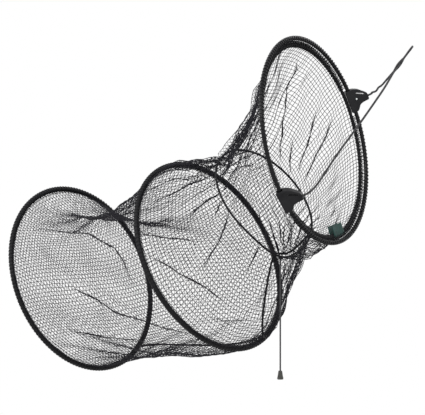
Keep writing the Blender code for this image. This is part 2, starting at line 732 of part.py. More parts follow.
def draw_cord():
    """Loop of cord round the throat, bending where the netting does, both ends at the knot."""
    half_gap = (KNOT_RADIUS + FIT_GAP) / throat_radius(KNOT_ANGLE)
    start = KNOT_ANGLE + half_gap
    stop = KNOT_ANGLE + 2 * math.pi - half_gap
    step = NET_STEP / DRAW_CORD_STEPS_PER_COLUMN
    corners = range(math.ceil(start / step + CORD_LEAST_STEP_SHARE),
                    math.floor(stop / step - CORD_LEAST_STEP_SHARE) + 1)
    points = []
    for angle in [start] + [corner * step for corner in corners] + [stop]:
        radius = throat_radius(angle)
        points.append(Vector((radius * math.cos(angle), radius * math.sin(angle), 0)))
    cord_curve("draw_cord", points, DRAW_CORD_RADIUS, CORD_FINISH, frame=THROAT)


def knot():
    """Stopper knot: three wraps of the cord drawn up into a ball."""
    profile = [(0, KNOT_RADIUS)]
    for turn_share in sorted(KNOT_RIDGE_SHARES + KNOT_GROOVE_SHARES):
        turn = math.pi * turn_share
        reach = KNOT_RADIUS - (KNOT_GROOVE if turn_share in KNOT_GROOVE_SHARES else 0)
        profile.append((reach * math.sin(turn), reach * math.cos(turn)))
    profile.append((0, -KNOT_RADIUS))
    bm = bmesh.new()
    lathe(bm, profile, ROUND_SIDES)
    place = Matrix.Translation(knot_centre())
    add_object("draw_cord_knot", mesh_from("draw_cord_knot", bm), place, CORD_FINISH)


def tail():
    """Tail of the draw cord, hanging straight down from the knot into the bell."""
    start = KNOT_RADIUS + FIT_GAP
    drops = [start + TAIL_LENGTH * index / (TAIL_POINTS - 1) for index in range(TAIL_POINTS)]
    points = [Vector((0, 0, -drop)) for drop in drops]
    hanging = Matrix.Translation(knot_centre())
    cord_curve("tail_cord", points, DRAW_CORD_RADIUS, CORD_FINISH, frame=hanging)
    bore = DRAW_CORD_RADIUS + BRIDLE_BORE_CLEARANCE
    bore_floor = -start - TAIL_LENGTH - FIT_GAP
    top = bore_floor + BELL_BORE_DEPTH
    profile = [(0, bore_floor), (bore, bore_floor), (bore, top), (BELL_SHOULDER_RADIUS, top)]
    for drop_share, radius_share in BELL_FLARE_SHARES:
        radius = BELL_SHOULDER_RADIUS + (BELL_RADIUS - BELL_SHOULDER_RADIUS) * radius_share
        profile.append((radius, top - BELL_LENGTH * drop_share))
    profile += [(BELL_RADIUS * BELL_FOOT_SHARE, top - BELL_LENGTH), (0, top - BELL_LENGTH)]
    bm = bmesh.new()
    lathe(bm, profile, ROUND_SIDES)
    add_object("cord_end_bell", mesh_from("cord_end_bell", bm), hanging, BELL_FINISH)


# Clips

def clip_frame(angle, swing, flip):
    """Frame of a clip: +X along the hoop to its slotted side, +Y to its nose, origin in the tube."""
    radial = Vector((math.cos(angle), math.sin(angle), 0))
    along = Vector((-math.sin(angle), math.cos(angle), 0)) * flip
    nose = radial * math.cos(swing) + Vector((0, 0, 1)) * math.sin(swing)
    turned = Matrix((along, nose, along.cross(nose))).transposed().to_4x4()
    turned.translation = ring_point(MOUTH_HOOP_RADIUS, angle, 0, 0)
    return MOUTH @ turned


def clip_outline():
    """Side view of a clip: a straight back along the hoop, a crowned slotted edge and a hollow flank."""
    half = CLIP_LENGTH / 2
    nose_left = CLIP_NOSE_SHIFT - CLIP_NOSE_WIDTH / 2
    nose_right = CLIP_NOSE_SHIFT + CLIP_NOSE_WIDTH / 2
    shoulder = (half * CLIP_SHOULDER_SHARES[0], CLIP_REACH * CLIP_SHOULDER_SHARES[1])
    flank = [(nose_left - half * in_share, CLIP_REACH * reach_share)
             for in_share, reach_share in CLIP_FLANK_SHARES]
    return [(-half, -CLIP_BACK), (half, -CLIP_BACK), (half, CLIP_BACK), shoulder, (nose_right, CLIP_REACH),
            (nose_left, CLIP_REACH)] + flank + [(-half, CLIP_BACK * CLIP_HEEL_SHARE)]


def clip_half_thickness(y):
    """Half thickness of a clip, tapering from its back to its nose."""
    share = (y + CLIP_BACK) / (CLIP_REACH + CLIP_BACK)
    return CLIP_BACK_HALF_THICKNESS + (CLIP_NOSE_HALF_THICKNESS - CLIP_BACK_HALF_THICKNESS) * share


def clip_half(name, frame, side):
    """One moulded half, its flat face on the plane through the hoop tube and the cord."""
    bm = bmesh.new()
    outline = clip_outline()
    inside = add_ring(bm, [Vector((x, y, side * FIT_GAP / 2)) for x, y in outline])
    outside = add_ring(bm, [Vector((x, y, side * clip_half_thickness(y))) for x, y in outline])
    bm.faces.new(inside)
    cover = bm.faces.new(outside)
    bridge(bm, inside, outside)
    bmesh.ops.recalc_face_normals(bm, faces=bm.faces)
    upright = [edge for edge in bm.edges if edge.verts[0].co.xy == edge.verts[1].co.xy]
    bmesh.ops.bevel(bm, geom=upright, offset=CLIP_CORNER_FILLET, segments=2, profile=0.5, affect="EDGES")
    cover = max(bm.faces, key=lambda face: side * face.calc_center_median().z)
    bmesh.ops.bevel(bm, geom=list(cover.edges), offset=CLIP_EDGE_FILLET, segments=2, profile=0.5,
                    affect="EDGES")
    return add_object(name, mesh_from(name, bm), frame, CLIP_FINISH)


def screw_profile(grow):
    """Half section of a clip's screw from its tip up to its head, grown by a clearance."""
    head_top = CLIP_BACK_HALF_THICKNESS - SCREW_SINK * 2
    head_base = head_top - SCREW_HEAD_HEIGHT
    tip = head_base - SCREW_SHANK_LENGTH
    shank = SCREW_SHANK_RADIUS + grow
    head = SCREW_HEAD_RADIUS + grow
    profile = [(0, tip - grow), (shank, tip - grow), (shank, head_base - grow), (head, head_base - grow)]
    return profile, head, head_top


def clip_screw(name, frame, side):
    """Pan-headed screw through both halves, its head sunk in one of them."""
    profile, head, head_top = screw_profile(0)
    crown_share, drop_share = SCREW_CROWN_SHARES
    profile += [(head, head_top - SCREW_HEAD_HEIGHT * drop_share), (head * crown_share, head_top),
                (0, head_top)]
    bm = bmesh.new()
    lathe(bm, profile, ROUND_SIDES, screw_frame(side))
    return add_object(name, mesh_from(name, bm), frame, SCREW_FINISH)


def screw_frame(side):
    """Frame of the screw in its clip, head towards the given side."""
    return Matrix.Translation((*CLIP_SCREW_AT, 0)) @ Matrix.Rotation(0 if side > 0 else math.pi, 4, "X")


def swivel_bore(bm, frame, angle):
    """Bore along the clip that flares to both ends, so that the clip can swivel on the curved hoop."""
    reach = (CLIP_LENGTH / 2 + CUT_OVERRUN) / MOUTH_HOOP_RADIUS
    into_clip = frame.inverted() @ MOUTH
    profile = []
    for place in sorted(ring_angles(angle - reach, angle + reach) + [angle]):
        point = into_clip @ ring_point(MOUTH_HOOP_RADIUS, place, 0, 0)
        grown = HOOP_TUBE_RADIUS + FIT_GAP + point.yz.length
        profile.append((grown / math.cos(math.pi / ROUND_SIDES), point.x))
    profile.sort(key=lambda place: place[1])
    profile = [(0, profile[0][1])] + profile + [(0, profile[-1][1])]
    lathe(bm, profile, ROUND_SIDES, Matrix.Rotation(math.pi / 2, 4, "Y"))


def clip_cutter(name, frame, angle, side):
    """What both halves lose: the hoop's bore, the cord's bore, the slot and the screw's hole."""
    bm = bmesh.new()
    swivel_bore(bm, frame, angle)
    bore = BRIDLE_RADIUS + BRIDLE_BORE_CLEARANCE
    along_nose = Matrix.Translation((CLIP_NOSE_SHIFT, 0, 0)) @ Matrix.Rotation(-math.pi / 2, 4, "X")
    floor = CLIP_REACH - BRIDLE_BORE_DEPTH
    lathe(bm, [(0, floor), (bore, floor), (bore, CLIP_REACH + CUT_OVERRUN), (0, CLIP_REACH + CUT_OVERRUN)],
          ROUND_SIDES, along_nose)
    profile, head, _head_top = screw_profile(SCREW_CLEARANCE)
    profile += [(head, CLIP_BACK_HALF_THICKNESS + CUT_OVERRUN), (0, CLIP_BACK_HALF_THICKNESS + CUT_OVERRUN)]
    lathe(bm, profile, ROUND_SIDES, screw_frame(side))
    slot_prism(bm)
    return add_object(name, mesh_from(name, bm), frame, CLIP_FINISH)


def slot_prism(bm):
    """Round-ended prism that cuts the clip's slot right through."""
    radius = CLIP_SLOT_WIDTH / 2
    straight = CLIP_SLOT_LENGTH / 2 - radius
    outline = []
    for middle, end in ((0, straight), (math.pi, -straight)):
        for index in range(CLIP_SLOT_END_POINTS):
            turn = middle + math.pi * (index / (CLIP_SLOT_END_POINTS - 1) - 0.5)
            outline.append(Vector((end + radius * math.cos(turn), radius * math.sin(turn), 0)))
    lean = Matrix.Translation((*CLIP_SLOT_CENTRE, 0)) @ Matrix.Rotation(CLIP_SLOT_LEAN, 4, "Z")
    height = Vector((0, 0, CLIP_BACK_HALF_THICKNESS + CUT_OVERRUN))
    low = add_ring(bm, [lean @ (point - height) for point in outline])
    high = add_ring(bm, [lean @ (point + height) for point in outline])
    bridge(bm, low, high)
    bm.faces.new(low)
    bm.faces.new(high)


CLIP_A = clip_frame(CLIP_A_ANGLE, CLIP_A_SWING, 1)
CLIP_B = clip_frame(CLIP_B_ANGLE, CLIP_B_SWING, -1)


def clips():
    """Both clips; the screw of clip A enters from its lower side and that of clip B from its upper."""
    for name, frame, angle, screw_side in (("clip_a", CLIP_A, CLIP_A_ANGLE, -1),
                                           ("clip_b", CLIP_B, CLIP_B_ANGLE, 1)):
        cutter = clip_cutter(name + "_cutter", frame, angle, screw_side)
        for half, side in (("front", -1), ("back", 1)):
            boolean(clip_half(name + "_" + half, frame, side), "DIFFERENCE", cutter)
        clip_screw(name + "_screw", frame, screw_side)


# Bridle

BRIDLE_AXIS = Vector((math.cos(BRIDLE_LEAN_TILT) * math.cos(BRIDLE_LEAN_TURN),
                      math.cos(BRIDLE_LEAN_TILT) * math.sin(BRIDLE_LEAN_TURN), math.sin(BRIDLE_LEAN_TILT)))
EYE_SIDE = Vector((-math.sin(BRIDLE_LEAN_TURN), math.cos(BRIDLE_LEAN_TURN), 0))
EYE_FRONT = BRIDLE_AXIS.cross(EYE_SIDE)

# Strand A hangs a little slack and has kept the bends of its packing; strand B is drawn nearly straight
STRAND_A_ROUTE = ((-0.1861, 0.1165, -0.0776), (-0.1634, 0.0999, -0.0762), (-0.1430, 0.0810, -0.0707),
                  (-0.1211, 0.0634, -0.0673), (-0.0732, 0.0206, -0.0563))
STRAND_B_ROUTE = ((-0.0931, -0.1831, -0.2714), (-0.0766, -0.1421, -0.2134), (-0.0601, -0.1043, -0.1636),
                  (-0.0465, -0.0727, -0.1205), (-0.0349, -0.0451, -0.0817))


def twist_points(phase):
    """One strand of the pair, winding round the other up to the foot of the hang loop."""
    points = []
    for index in range(TWIST_POINTS):
        share = index / (TWIST_POINTS - 1)
        turn = phase + 2 * math.pi * TWIST_TURNS * (share - 1)
        down = TWIST_START + (EYE_FOOT + TWIST_STRAIGHT - TWIST_START) * share
        points.append(-BRIDLE_AXIS * down
                      + TWIST_RADIUS * (EYE_SIDE * math.cos(turn) + EYE_FRONT * math.sin(turn)))
    points.append(points[-1] + BRIDLE_AXIS * TWIST_STRAIGHT)
    return points


def strand(name, clip, route, phase):
    """One side of the bridle, from inside its clip's nose to the foot of the hang loop."""
    inside, outside, clear = (clip @ Vector((CLIP_NOSE_SHIFT, CLIP_REACH + along, 0))
                              for along in (-BRIDLE_ENTRY, BRIDLE_ENTRY / 2, BRIDLE_ENTRY * 3 / 2))
    pair = twist_points(phase)
    free = smooth_route([outside, clear] + [Vector(point) for point in route] + pair[:1], CORD_SPACING)
    cord_curve(name, [inside] + free + pair[1:], BRIDLE_RADIUS, CORD_FINISH)


def hang_loop():
    """Eye at the top of the bridle, where the cord turns back on itself."""
    points = []
    for index in range(EYE_ARC_POINTS):
        turn = EYE_START_ANGLE + EYE_SPAN_ANGLE * index / (EYE_ARC_POINTS - 1)
        points.append(-BRIDLE_AXIS * (EYE_RADIUS - EYE_RADIUS * math.sin(turn))
                      + EYE_SIDE * EYE_RADIUS * math.cos(turn))
    foot = -BRIDLE_AXIS * (EYE_FOOT - FIT_GAP)
    above = foot + BRIDLE_AXIS * TWIST_STRAIGHT
    apart = EYE_SIDE * TWIST_RADIUS
    points = smooth_route([above + apart] + points + [above - apart], CORD_SPACING / 2)
    cord_curve("hang_loop", [foot + apart] + points + [foot - apart], BRIDLE_RADIUS, CORD_FINISH)


def bridle():
    """Both strands and the hang loop."""
    strand("bridle_strand_a", CLIP_A, STRAND_A_ROUTE, math.pi)
    strand("bridle_strand_b", CLIP_B, STRAND_B_ROUTE, 0)
    hang_loop()


for old in list(bpy.data.objects):
    bpy.data.objects.remove(old, do_unlink=True)
for hoop_name, hoop_place, hoop_size in (("mouth_hoop", MOUTH, MOUTH_HOOP_RADIUS),
                                         ("middle_hoop", MIDDLE, HOOP_RADIUS),
                                         ("end_hoop", END, HOOP_RADIUS)):
    hoop(hoop_name, hoop_place, hoop_size)
    spigot(hoop_name + "_spigot", hoop_place, hoop_size)
hem_sleeve("middle_hem", MIDDLE)
hem_sleeve("end_hem", END)
mouth_hem()
lacing()
label_tag()
nets()
seams()
end_net()
draw_cord()
knot()
tail()
clips()
bridle()
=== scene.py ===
"""Looks of the keep net: real mesh of fine threads on glossy hoops, with its folds, cords, clips and label.

Metres, in the frame's own axes. The origin is the top of the hang loop, +X runs from the closed end to the
mouth. Each hoop has a frame of its own: an axis towards the mouth, an upper side and a side, and angles
round it run from its upper side towards its side.
"""
import math

import bpy
import numpy as np
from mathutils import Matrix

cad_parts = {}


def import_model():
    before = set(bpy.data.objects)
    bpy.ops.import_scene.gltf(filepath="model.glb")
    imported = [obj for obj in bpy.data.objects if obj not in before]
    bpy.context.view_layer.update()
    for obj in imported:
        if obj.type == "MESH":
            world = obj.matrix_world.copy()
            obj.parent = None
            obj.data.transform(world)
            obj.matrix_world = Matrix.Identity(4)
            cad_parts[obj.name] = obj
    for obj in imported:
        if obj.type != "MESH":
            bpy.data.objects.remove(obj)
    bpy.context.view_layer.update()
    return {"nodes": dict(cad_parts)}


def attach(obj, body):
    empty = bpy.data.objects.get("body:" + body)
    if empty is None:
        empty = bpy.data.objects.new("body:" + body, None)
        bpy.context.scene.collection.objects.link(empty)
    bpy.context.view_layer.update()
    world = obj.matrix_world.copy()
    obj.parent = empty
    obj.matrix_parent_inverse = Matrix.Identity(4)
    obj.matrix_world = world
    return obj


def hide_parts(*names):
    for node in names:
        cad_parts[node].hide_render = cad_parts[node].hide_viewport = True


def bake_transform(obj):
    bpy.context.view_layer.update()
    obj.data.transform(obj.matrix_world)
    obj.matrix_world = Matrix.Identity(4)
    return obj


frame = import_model()
TURN = 2 * math.pi

# Camera, level and far off, and lamps with their place, size and watts
CAMERA_PLACE = (2.2783, -3.1648, -0.3145)
CAMERA_TURN = math.radians(41.5)
CAMERA_LENS = 168.2
FLOOR_HALF = 2.2
FLOOR_PLACE = (-0.4, -0.1, -1.20)
SOFT_LIGHT = 0.55
LAMP_AIM = (-0.4, -0.1, -0.3)
LAMPS = (("key", (0.6, -2.6, 1.9), 1.6, 38), ("fill", (-2.6, -1.8, 0.6), 1.8, 16),
         ("back", (-0.8, 2.6, 1.4), 1.6, 16))

# Hoops: centres, turn about the vertical and tilt of the axis above the horizon
HOOP_RADIUS = 0.200
MOUTH_HOOP_RADIUS = 0.2075
TUBE_RADIUS = 0.0042
TUBE_BORE_RADIUS = 0.0026
JOINT_ANGLE = math.radians(225)
JOINT_GAP = 0.0003
RING_POINTS = 181
TUBE_SIDES = 16
MOUTH_CENTRE = (-0.192, -0.062, -0.180)
THROAT_FROM_MOUTH = (-0.077, -0.067, -0.118)
MIDDLE_FROM_THROAT = (-0.109, -0.040, -0.113)
END_FROM_MIDDLE = (-0.378, 0.014, -0.054)
MOUTH_LEAN = (math.radians(10.1), math.radians(10.5))
THROAT_LEAN = (math.radians(-3.3), math.radians(34))
MIDDLE_LEAN = (math.radians(0.2), math.radians(23))
END_LEAN = (math.radians(-0.3), math.radians(17.7))

# Depth of the fine relief of the finishes
GRAIN_DEPTH = 0.0002
SCREW_GRAIN_DEPTH = 0.0001
WEAVE_DEPTH = 0.0003

# Hems
SLEEVE_RADIUS = 0.0054
SLEEVE_SINK = 0.0002
HEM_RADIUS = 0.0038
HEM_INSET = 0.012
HEM_SETBACK = 0.007
STITCH_PITCH = 0.0078
ROPE_SWELL = 0.0003
ROPE_SIDES = 12
ROPE_STEPS = 4
TWINE_RADIUS = 0.00055
TWINE_LIFT_SHARE = 0.5
WHIPPING_POINTS = 10
ZIGZAG_TWINE_SHARE = 0.9
LACING_TWINE_SHARE = 1.2
LACING_REACH_SHARE = 1.6
LACING_SIDES = 6
LACING_ARC_POINTS = 6
HEM_STITCH_PITCH = 0.0048
HEM_STITCH_START = 0.0050
HEM_STITCH_END = 0.0105
HEM_STITCH_SIDE = 0.0008
SELVAGE_START = 0.0040
SELVAGE_END = 0.0098
SELVAGE_SIDE = 0.0012
SELVAGE_PITCH = 0.0042

# Label
LABEL_ANGLE = math.radians(189.9)
LABEL_SHIFT_ANGLE = 0.035
LABEL_HALF_WIDTH = 0.024
LABEL_LEG = 0.022
LABEL_THICKNESS = 0.0010
LABEL_GAP = 0.0003
LABEL_LEAN = -0.006
LABEL_CURL = 0.0015
LABEL_CURL_TWIST_SHARE = 0.4
LABEL_BEND_POINTS = 7
LABEL_COLUMNS = 9

# Netting
THREAD_RADIUS = 0.00055
NET_COLUMNS = 156
NET_PITCH = 0.0079
GATHERED_PITCH = 0.00022
MOUTH_ROWS = 32
THROAT_ROWS = 29
BODY_ROWS = 52
MOUTH_PULL = 0.110
THROAT_PULL = 0.120
BODY_PULL = 0.340
MOUTH_BAG = 0.030
THROAT_BAG = 0.022
BODY_BAG = 0.010
BODY_SAG = 0.060
NET_WAVE = 0.0035
WAVES = ((3, 1.0), (5, -1.6), (8, 2.1), (11, -2.7), (14, 3.4), (19, 4.2))
WAVE_FADE = 0.7
SCATTER_ANGLE = 0.0016
SCATTER_HEIGHT = 0.0008
GATHERED_HEIGHT_SHARE = 0.3
# Lean, pitch and thread radius of the two sets of threads in the end mesh
END_SETS = ((math.radians(37), 0.0062, 0.00062), (math.radians(116), 0.0080, 0.00052))
END_WAVE = 0.004
END_WAVES = ((0.031, 0.020), (0.060, 0.027))

# Pleats beside the throat with their reach, the slack above them, and the body's sag and lift
PLEAT_TURNS = (23, 31, 38)
PLEAT_HEIGHT = 0.0042
PLEAT_REACH_SHARE = 0.45
PLEAT_FADE = 0.35
SLACK_ANGLE = math.radians(38)
SLACK_SPREAD = math.radians(42)
SLACK_TIMES = 1.6
SLACK_INSET = 0.017
SHOULDER_SAG = 0.036
BELLY_LIFT = 0.018
# Brings the height of the sag's hump to 1
HUMP_TIMES = 6.75

# Creases in each section as lines of (angle in degrees, share of the way to the closed end)
CREASE_PINCH_SHARE = 0.82
CREASE_DEPTH = 0.004
CREASE_THREAD_SHARE = 1.4
CREASE_WANDER = 0.0007
CREASE_WAVER = 0.0006
CREASE_END_SHARE = 0.25
CREASE_FADE_TIMES = 6
CREASE_DEPTH_LIMIT = 1.2
CREASE_STEPS = 12
CREASE_STRANDS = ((-0.0008, 0.0), (0.0, 1.4), (0.0009, 2.9))
MOUTH_CREASES = (
    ((347, 0.19), (342, 0.31), (340, 0.36), (336, 0.45), (334, 0.52), (330, 0.58), (322, 0.76), (315, 0.89)),
    ((313, 0.68), (305, 0.80), (300, 0.92)), ((307, 0.37), (303, 0.50), (299, 0.63), (294, 0.80)),
    ((294, 0.28), (289, 0.46), (286, 0.60), (283, 0.83)), ((61, 0.01), (72, 0.23), (74, 0.45), (69, 0.66)),
    ((76, 0.02), (85, 0.22), (90, 0.40)), ((62, 0.24), (62, 0.49), (61, 0.71)),
    ((10, 0.46), (11, 0.65), (11, 0.83)), ((357, 0.61), (355, 0.82)), ((22, 0.53), (25, 0.71)),
    ((40, 0.30), (45, 0.55), (42, 0.80)), ((163, 0.04), (180, 0.15), (192, 0.29)),
    ((135, 0.48), (147, 0.60), (164, 0.91)), ((133, 0.22), (144, 0.39), (160, 0.72)),
    ((144, 0.16), (152, 0.38), (163, 0.78)), ((128, 0.40), (141, 0.52), (159, 0.84)),
    ((139, 0.20), (149, 0.42), (161, 0.75)), ((140, 0.50), (152, 0.68), (163, 0.94)),
    ((124, 0.55), (138, 0.66), (157, 0.92)), ((68, 0.04), (80, 0.32)), ((84, 0.04), (93, 0.32)))
THROAT_CREASES = (
    ((59, 0.10), (59, 0.40), (61, 0.80)), ((82, 0.02), (83, 0.23), (86, 0.42)),
    ((105, 0.02), (115, 0.29), (119, 0.50)), ((145, 0.02), (147, 0.28)), ((30, 0.05), (38, 0.50)),
    ((174, 0.05), (180, 0.30), (187, 0.43)), ((45, 0.03), (50, 0.30)), ((70, 0.02), (70, 0.22)),
    ((92, 0.02), (97, 0.20)))
BODY_CREASES = (
    ((56, 0.80), (56, 0.62), (61, 0.49), (65, 0.37), (74, 0.25), (79, 0.18), (89, 0.13), (102, 0.12)),
    ((100, 0.56), (108, 0.45), (117, 0.36), (125, 0.21), (142, 0.03)),
    ((129, 0.74), (133, 0.58), (138, 0.33)), ((282, 0.95), (266, 0.73), (257, 0.57), (248, 0.44)),
    ((298, 0.92), (293, 0.66), (288, 0.52)), ((234, 0.48), (230, 0.23)),
    ((22, 0.71), (29, 0.52), (45, 0.31), (63, 0.14)), ((28, 0.64), (45, 0.38), (62, 0.20)))
CREASE_WIDTH = 0.012

# Seam rope, with its place on each ring
SEAM_RADIUS = 0.0021
SEAM_SIDES = 8
SEAM_POINTS = 61
SEAM_SWELL_SHARE = 0.10
SEAM_SWELL_TURN = 2.1
SEAM_MOUTH_ANGLE = math.radians(160)
SEAM_THROAT_ANGLE = math.radians(160)
SEAM_THROAT_BEND_SHARE = 1.5
SEAM_MIDDLE_ANGLE = math.radians(209)
SEAM_END_ANGLE = math.radians(216)

# Throat
THROAT_RADIUS = 0.120
DRAW_CORD_RADIUS = 0.0016
DRAW_CORD_LOOK_SHARE = 1.4
DRAW_CORD_POINTS = 220
DRAW_CORD_BRAID = 0.003
KNOT_GAP_SHARE = 0.8
KNOT_ANGLE = math.radians(165)
KNOT_PULL = 0.020
KNOT_PULL_ANGLE = math.radians(24)
KNOT_RADIUS = 0.0045
TAIL_LENGTH = 0.222
TAIL_POINTS = 90

# Clips and bridle
CLIP_A_ANGLE = math.radians(295.3)
CLIP_A_SWING = math.radians(50.8)
CLIP_B_ANGLE = math.radians(126.7)
CLIP_B_SWING = math.radians(106.3)
CLIP_REACH = 0.036
CLIP_NOSE_SHIFT = -0.003
CLIP_MARGIN_ANGLE = 0.032 / MOUTH_HOOP_RADIUS
BRIDLE_RADIUS = 0.0021
BRIDLE_ENTRY = 0.006
BRIDLE_LEAN_TURN = math.radians(41.5)
BRIDLE_LEAN_TILT = math.radians(53.3)
TWIST_START = 0.060
TWIST_RADIUS = 0.0021
TWIST_TURNS = 0.5
TWIST_POINTS = 14
TWIST_STRAIGHT = 0.004
EYE_RADIUS = 0.0085
EYE_FOOT = 0.024
EYE_ARC_POINTS = 9
EYE_ARC_ENDS = (math.radians(-35), math.radians(215))
EYE_SPACING = 0.002
CORD_SPACING = 0.0065
STRAND_SPACING = 0.003
# First point, last point and times of each rounding of a strand, the second counted from its end
NOSE_EASE = (2, 16, 8)
PAIR_EASE = (19, 11, 3)
BRAID_SIDES = 12
BRAID_PITCH = 0.0040
BRAID_SPACING_SHARE = 0.6
BRAID_CORE_SHARE = 0.95
BRAID_RELIEF_SHARE = 0.06
STRAND_A_ROUTE = ((-0.1861, 0.1165, -0.0776), (-0.1634, 0.0999, -0.0762), (-0.1430, 0.0810, -0.0707),
                  (-0.1211, 0.0634, -0.0673), (-0.0732, 0.0206, -0.0563))
STRAND_B_ROUTE = ((-0.0931, -0.1831, -0.2714), (-0.0766, -0.1421, -0.2134), (-0.0601, -0.1043, -0.1636),
                  (-0.0465, -0.0727, -0.1205), (-0.0349, -0.0451, -0.0817))


# Camera, light and floor

def placed(name, data):
    """Object in the scene."""
    made = bpy.data.objects.new(name, data)
    bpy.context.scene.collection.objects.link(made)
    return made


def camera():
    """Camera at the photograph's viewing angle."""
    lens = bpy.data.cameras.new("camera")
    lens.lens = CAMERA_LENS
    lens.clip_end = 20
    seen = placed("camera", lens)
    seen.location = CAMERA_PLACE
    seen.rotation_euler = (math.pi / 2, 0, CAMERA_TURN)
    bpy.context.scene.camera = seen


def white_share(nodes, links):
    """1 for what the camera sees itself, reflected or through a clear thing, and 0 for the rest."""
    path = nodes.new("ShaderNodeLightPath")
    share = path.outputs["Is Camera Ray"]
    for kind in ("Is Transmission Ray", "Is Glossy Ray"):
        either = nodes.new("ShaderNodeMath")
        either.operation = "MAXIMUM"
        links.new(share, either.inputs[0])
        links.new(path.outputs[kind], either.inputs[1])
        share = either.outputs[0]
    return share


def world():
    """Even soft light, with white behind the object."""
    made = bpy.data.worlds.new("studio")
    bpy.context.scene.world = made
    made.use_nodes = True
    nodes, links = made.node_tree.nodes, made.node_tree.links
    soft = nodes["Background"]
    soft.inputs["Color"].default_value = (1, 1, 1, 1)
    soft.inputs["Strength"].default_value = SOFT_LIGHT
    white = nodes.new("ShaderNodeBackground")
    white.inputs["Color"].default_value = (1, 1, 1, 1)
    white.inputs["Strength"].default_value = 1.0
    mix = nodes.new("ShaderNodeMixShader")
    links.new(white_share(nodes, links), mix.inputs[0])
    links.new(soft.outputs[0], mix.inputs[1])
    links.new(white.outputs[0], mix.inputs[2])
    links.new(mix.outputs[0], nodes["World Output"].inputs["Surface"])


def lamp(name, place, size, power):
    """Soft square lamp aimed at the net."""
    light = bpy.data.lights.new(name, "AREA")
    light.size = size
    light.energy = power
    made = placed(name, light)
    made.location = place
    x, y, z = unit(np.array(place) - np.array(LAMP_AIM))
    made.rotation_euler = (0, math.acos(z), math.atan2(y, x))


def floor():
    """Plain pale floor well below the hanging net."""
    mesh = bpy.data.meshes.new("floor")
    h = FLOOR_HALF
    corners = [(-h, -h, 0), (h, -h, 0), (h, h, 0), (-h, h, 0)]
    mesh.from_pydata(corners, [], [(0, 1, 2, 3)])
    made = placed("floor", mesh)
    made.location = FLOOR_PLACE
    mesh.materials.append(principled("floor", (0.86, 0.86, 0.85), 0.9)[0])


# Geometry helpers

def unit(vectors):
    """Vectors of length 1 along the last axis."""
    return vectors / np.maximum(np.linalg.norm(vectors, axis=-1, keepdims=True), 1e-12)


def leaning(turn, tilt):
    """Direction from its turn about the vertical and its tilt above the horizon."""
    return np.array((math.cos(tilt) * math.cos(turn), math.cos(tilt) * math.sin(turn), math.sin(tilt)))


class Ring:
    """Frame of a hoop: centre, axis towards the mouth, upper side and side."""

    def __init__(self, centre, lean):
        self.centre = np.array(centre)
        self.axis = leaning(*lean)
        self.up = unit(np.array((0.0, 0.0, 1.0)) - self.axis * self.axis[2])
        self.side = np.cross(self.axis, self.up)

    def outward(self, angles):
        """Unit vectors from the centre at the angles."""
        return np.cos(angles)[..., None] * self.up + np.sin(angles)[..., None] * self.side

    def tangent(self, angles):
        """Unit vectors round the ring at the angles."""
        return -np.sin(angles)[..., None] * self.up + np.cos(angles)[..., None] * self.side

    def at(self, angles, radius, axial=0.0):
        """Points at a radius and a height along the axis."""
        angles = np.asarray(angles, float)
        return (self.centre + self.outward(angles) * np.asarray(radius)[..., None]
                + self.axis * np.asarray(axial)[..., None])


MOUTH = Ring(MOUTH_CENTRE, MOUTH_LEAN)
THROAT = Ring(MOUTH.centre + THROAT_FROM_MOUTH, THROAT_LEAN)
MIDDLE = Ring(THROAT.centre + MIDDLE_FROM_THROAT, MIDDLE_LEAN)
END = Ring(MIDDLE.centre + END_FROM_MIDDLE, END_LEAN)


def mesh_object(name, vertices, faces):
    """Object from arrays of vertices and of quads or triangles."""
    mesh = bpy.data.meshes.new(name)
    vertices = np.asarray(vertices, np.float32).reshape(-1, 3)
    faces = np.asarray(faces, np.int32)
    corners = faces.shape[1]
    mesh.vertices.add(len(vertices))
    mesh.vertices.foreach_set("co", vertices.ravel())
    mesh.loops.add(faces.size)
    mesh.loops.foreach_set("vertex_index", faces.ravel())
    mesh.polygons.add(len(faces))
    mesh.polygons.foreach_set("loop_start", np.arange(0, faces.size, corners, dtype=np.int32))
    mesh.polygons.foreach_set("loop_total", np.full(len(faces), corners, dtype=np.int32))
    mesh.update(calc_edges=True)
    mesh.validate()
    mesh.shade_smooth()
    return placed(name, mesh)


def tube_arrays(paths, normals, radius, sides=4, closed=False):
    """Vertices and quads of tubes along paths of shape (paths, points, 3)."""
    paths = np.asarray(paths, float)
    count, length = paths.shape[:2]
    if closed:
        along = np.roll(paths, -1, axis=1) - np.roll(paths, 1, axis=1)
    else:
        along = np.gradient(paths, axis=1)
    along = unit(along)
    across = unit(np.cross(along, normals))
    upright = np.cross(across, along)
    radius = np.broadcast_to(np.asarray(radius, float), (count, length))
    turns = TURN * np.arange(sides) / sides
    offsets = (np.cos(turns)[None, None, :, None] * upright[:, :, None, :]
               + np.sin(turns)[None, None, :, None] * across[:, :, None, :])
    vertices = paths[:, :, None, :] + offsets * radius[:, :, None, None]
    index = np.arange(count * length * sides).reshape(count, length, sides)
    near = index if closed else index[:, :-1]
    far = np.roll(index, -1, axis=1) if closed else index[:, 1:]
    quads = np.stack([near, np.roll(near, -1, axis=2), np.roll(far, -1, axis=2), far], axis=-1)
    faces = quads.reshape(-1, 4)
    if not closed and sides == 4:
        caps = np.concatenate([index[:, 0, ::-1], index[:, -1]])
        faces = np.concatenate([faces, caps])
    return vertices.reshape(-1, 3), faces


def join_arrays(parts):
    """One pair of arrays from several."""
    vertices, faces, base = [], [], 0
    for some_vertices, some_faces in parts:
        vertices.append(some_vertices)
        faces.append(some_faces + base)
        base += len(some_vertices)
    return np.concatenate(vertices), np.concatenate(faces)


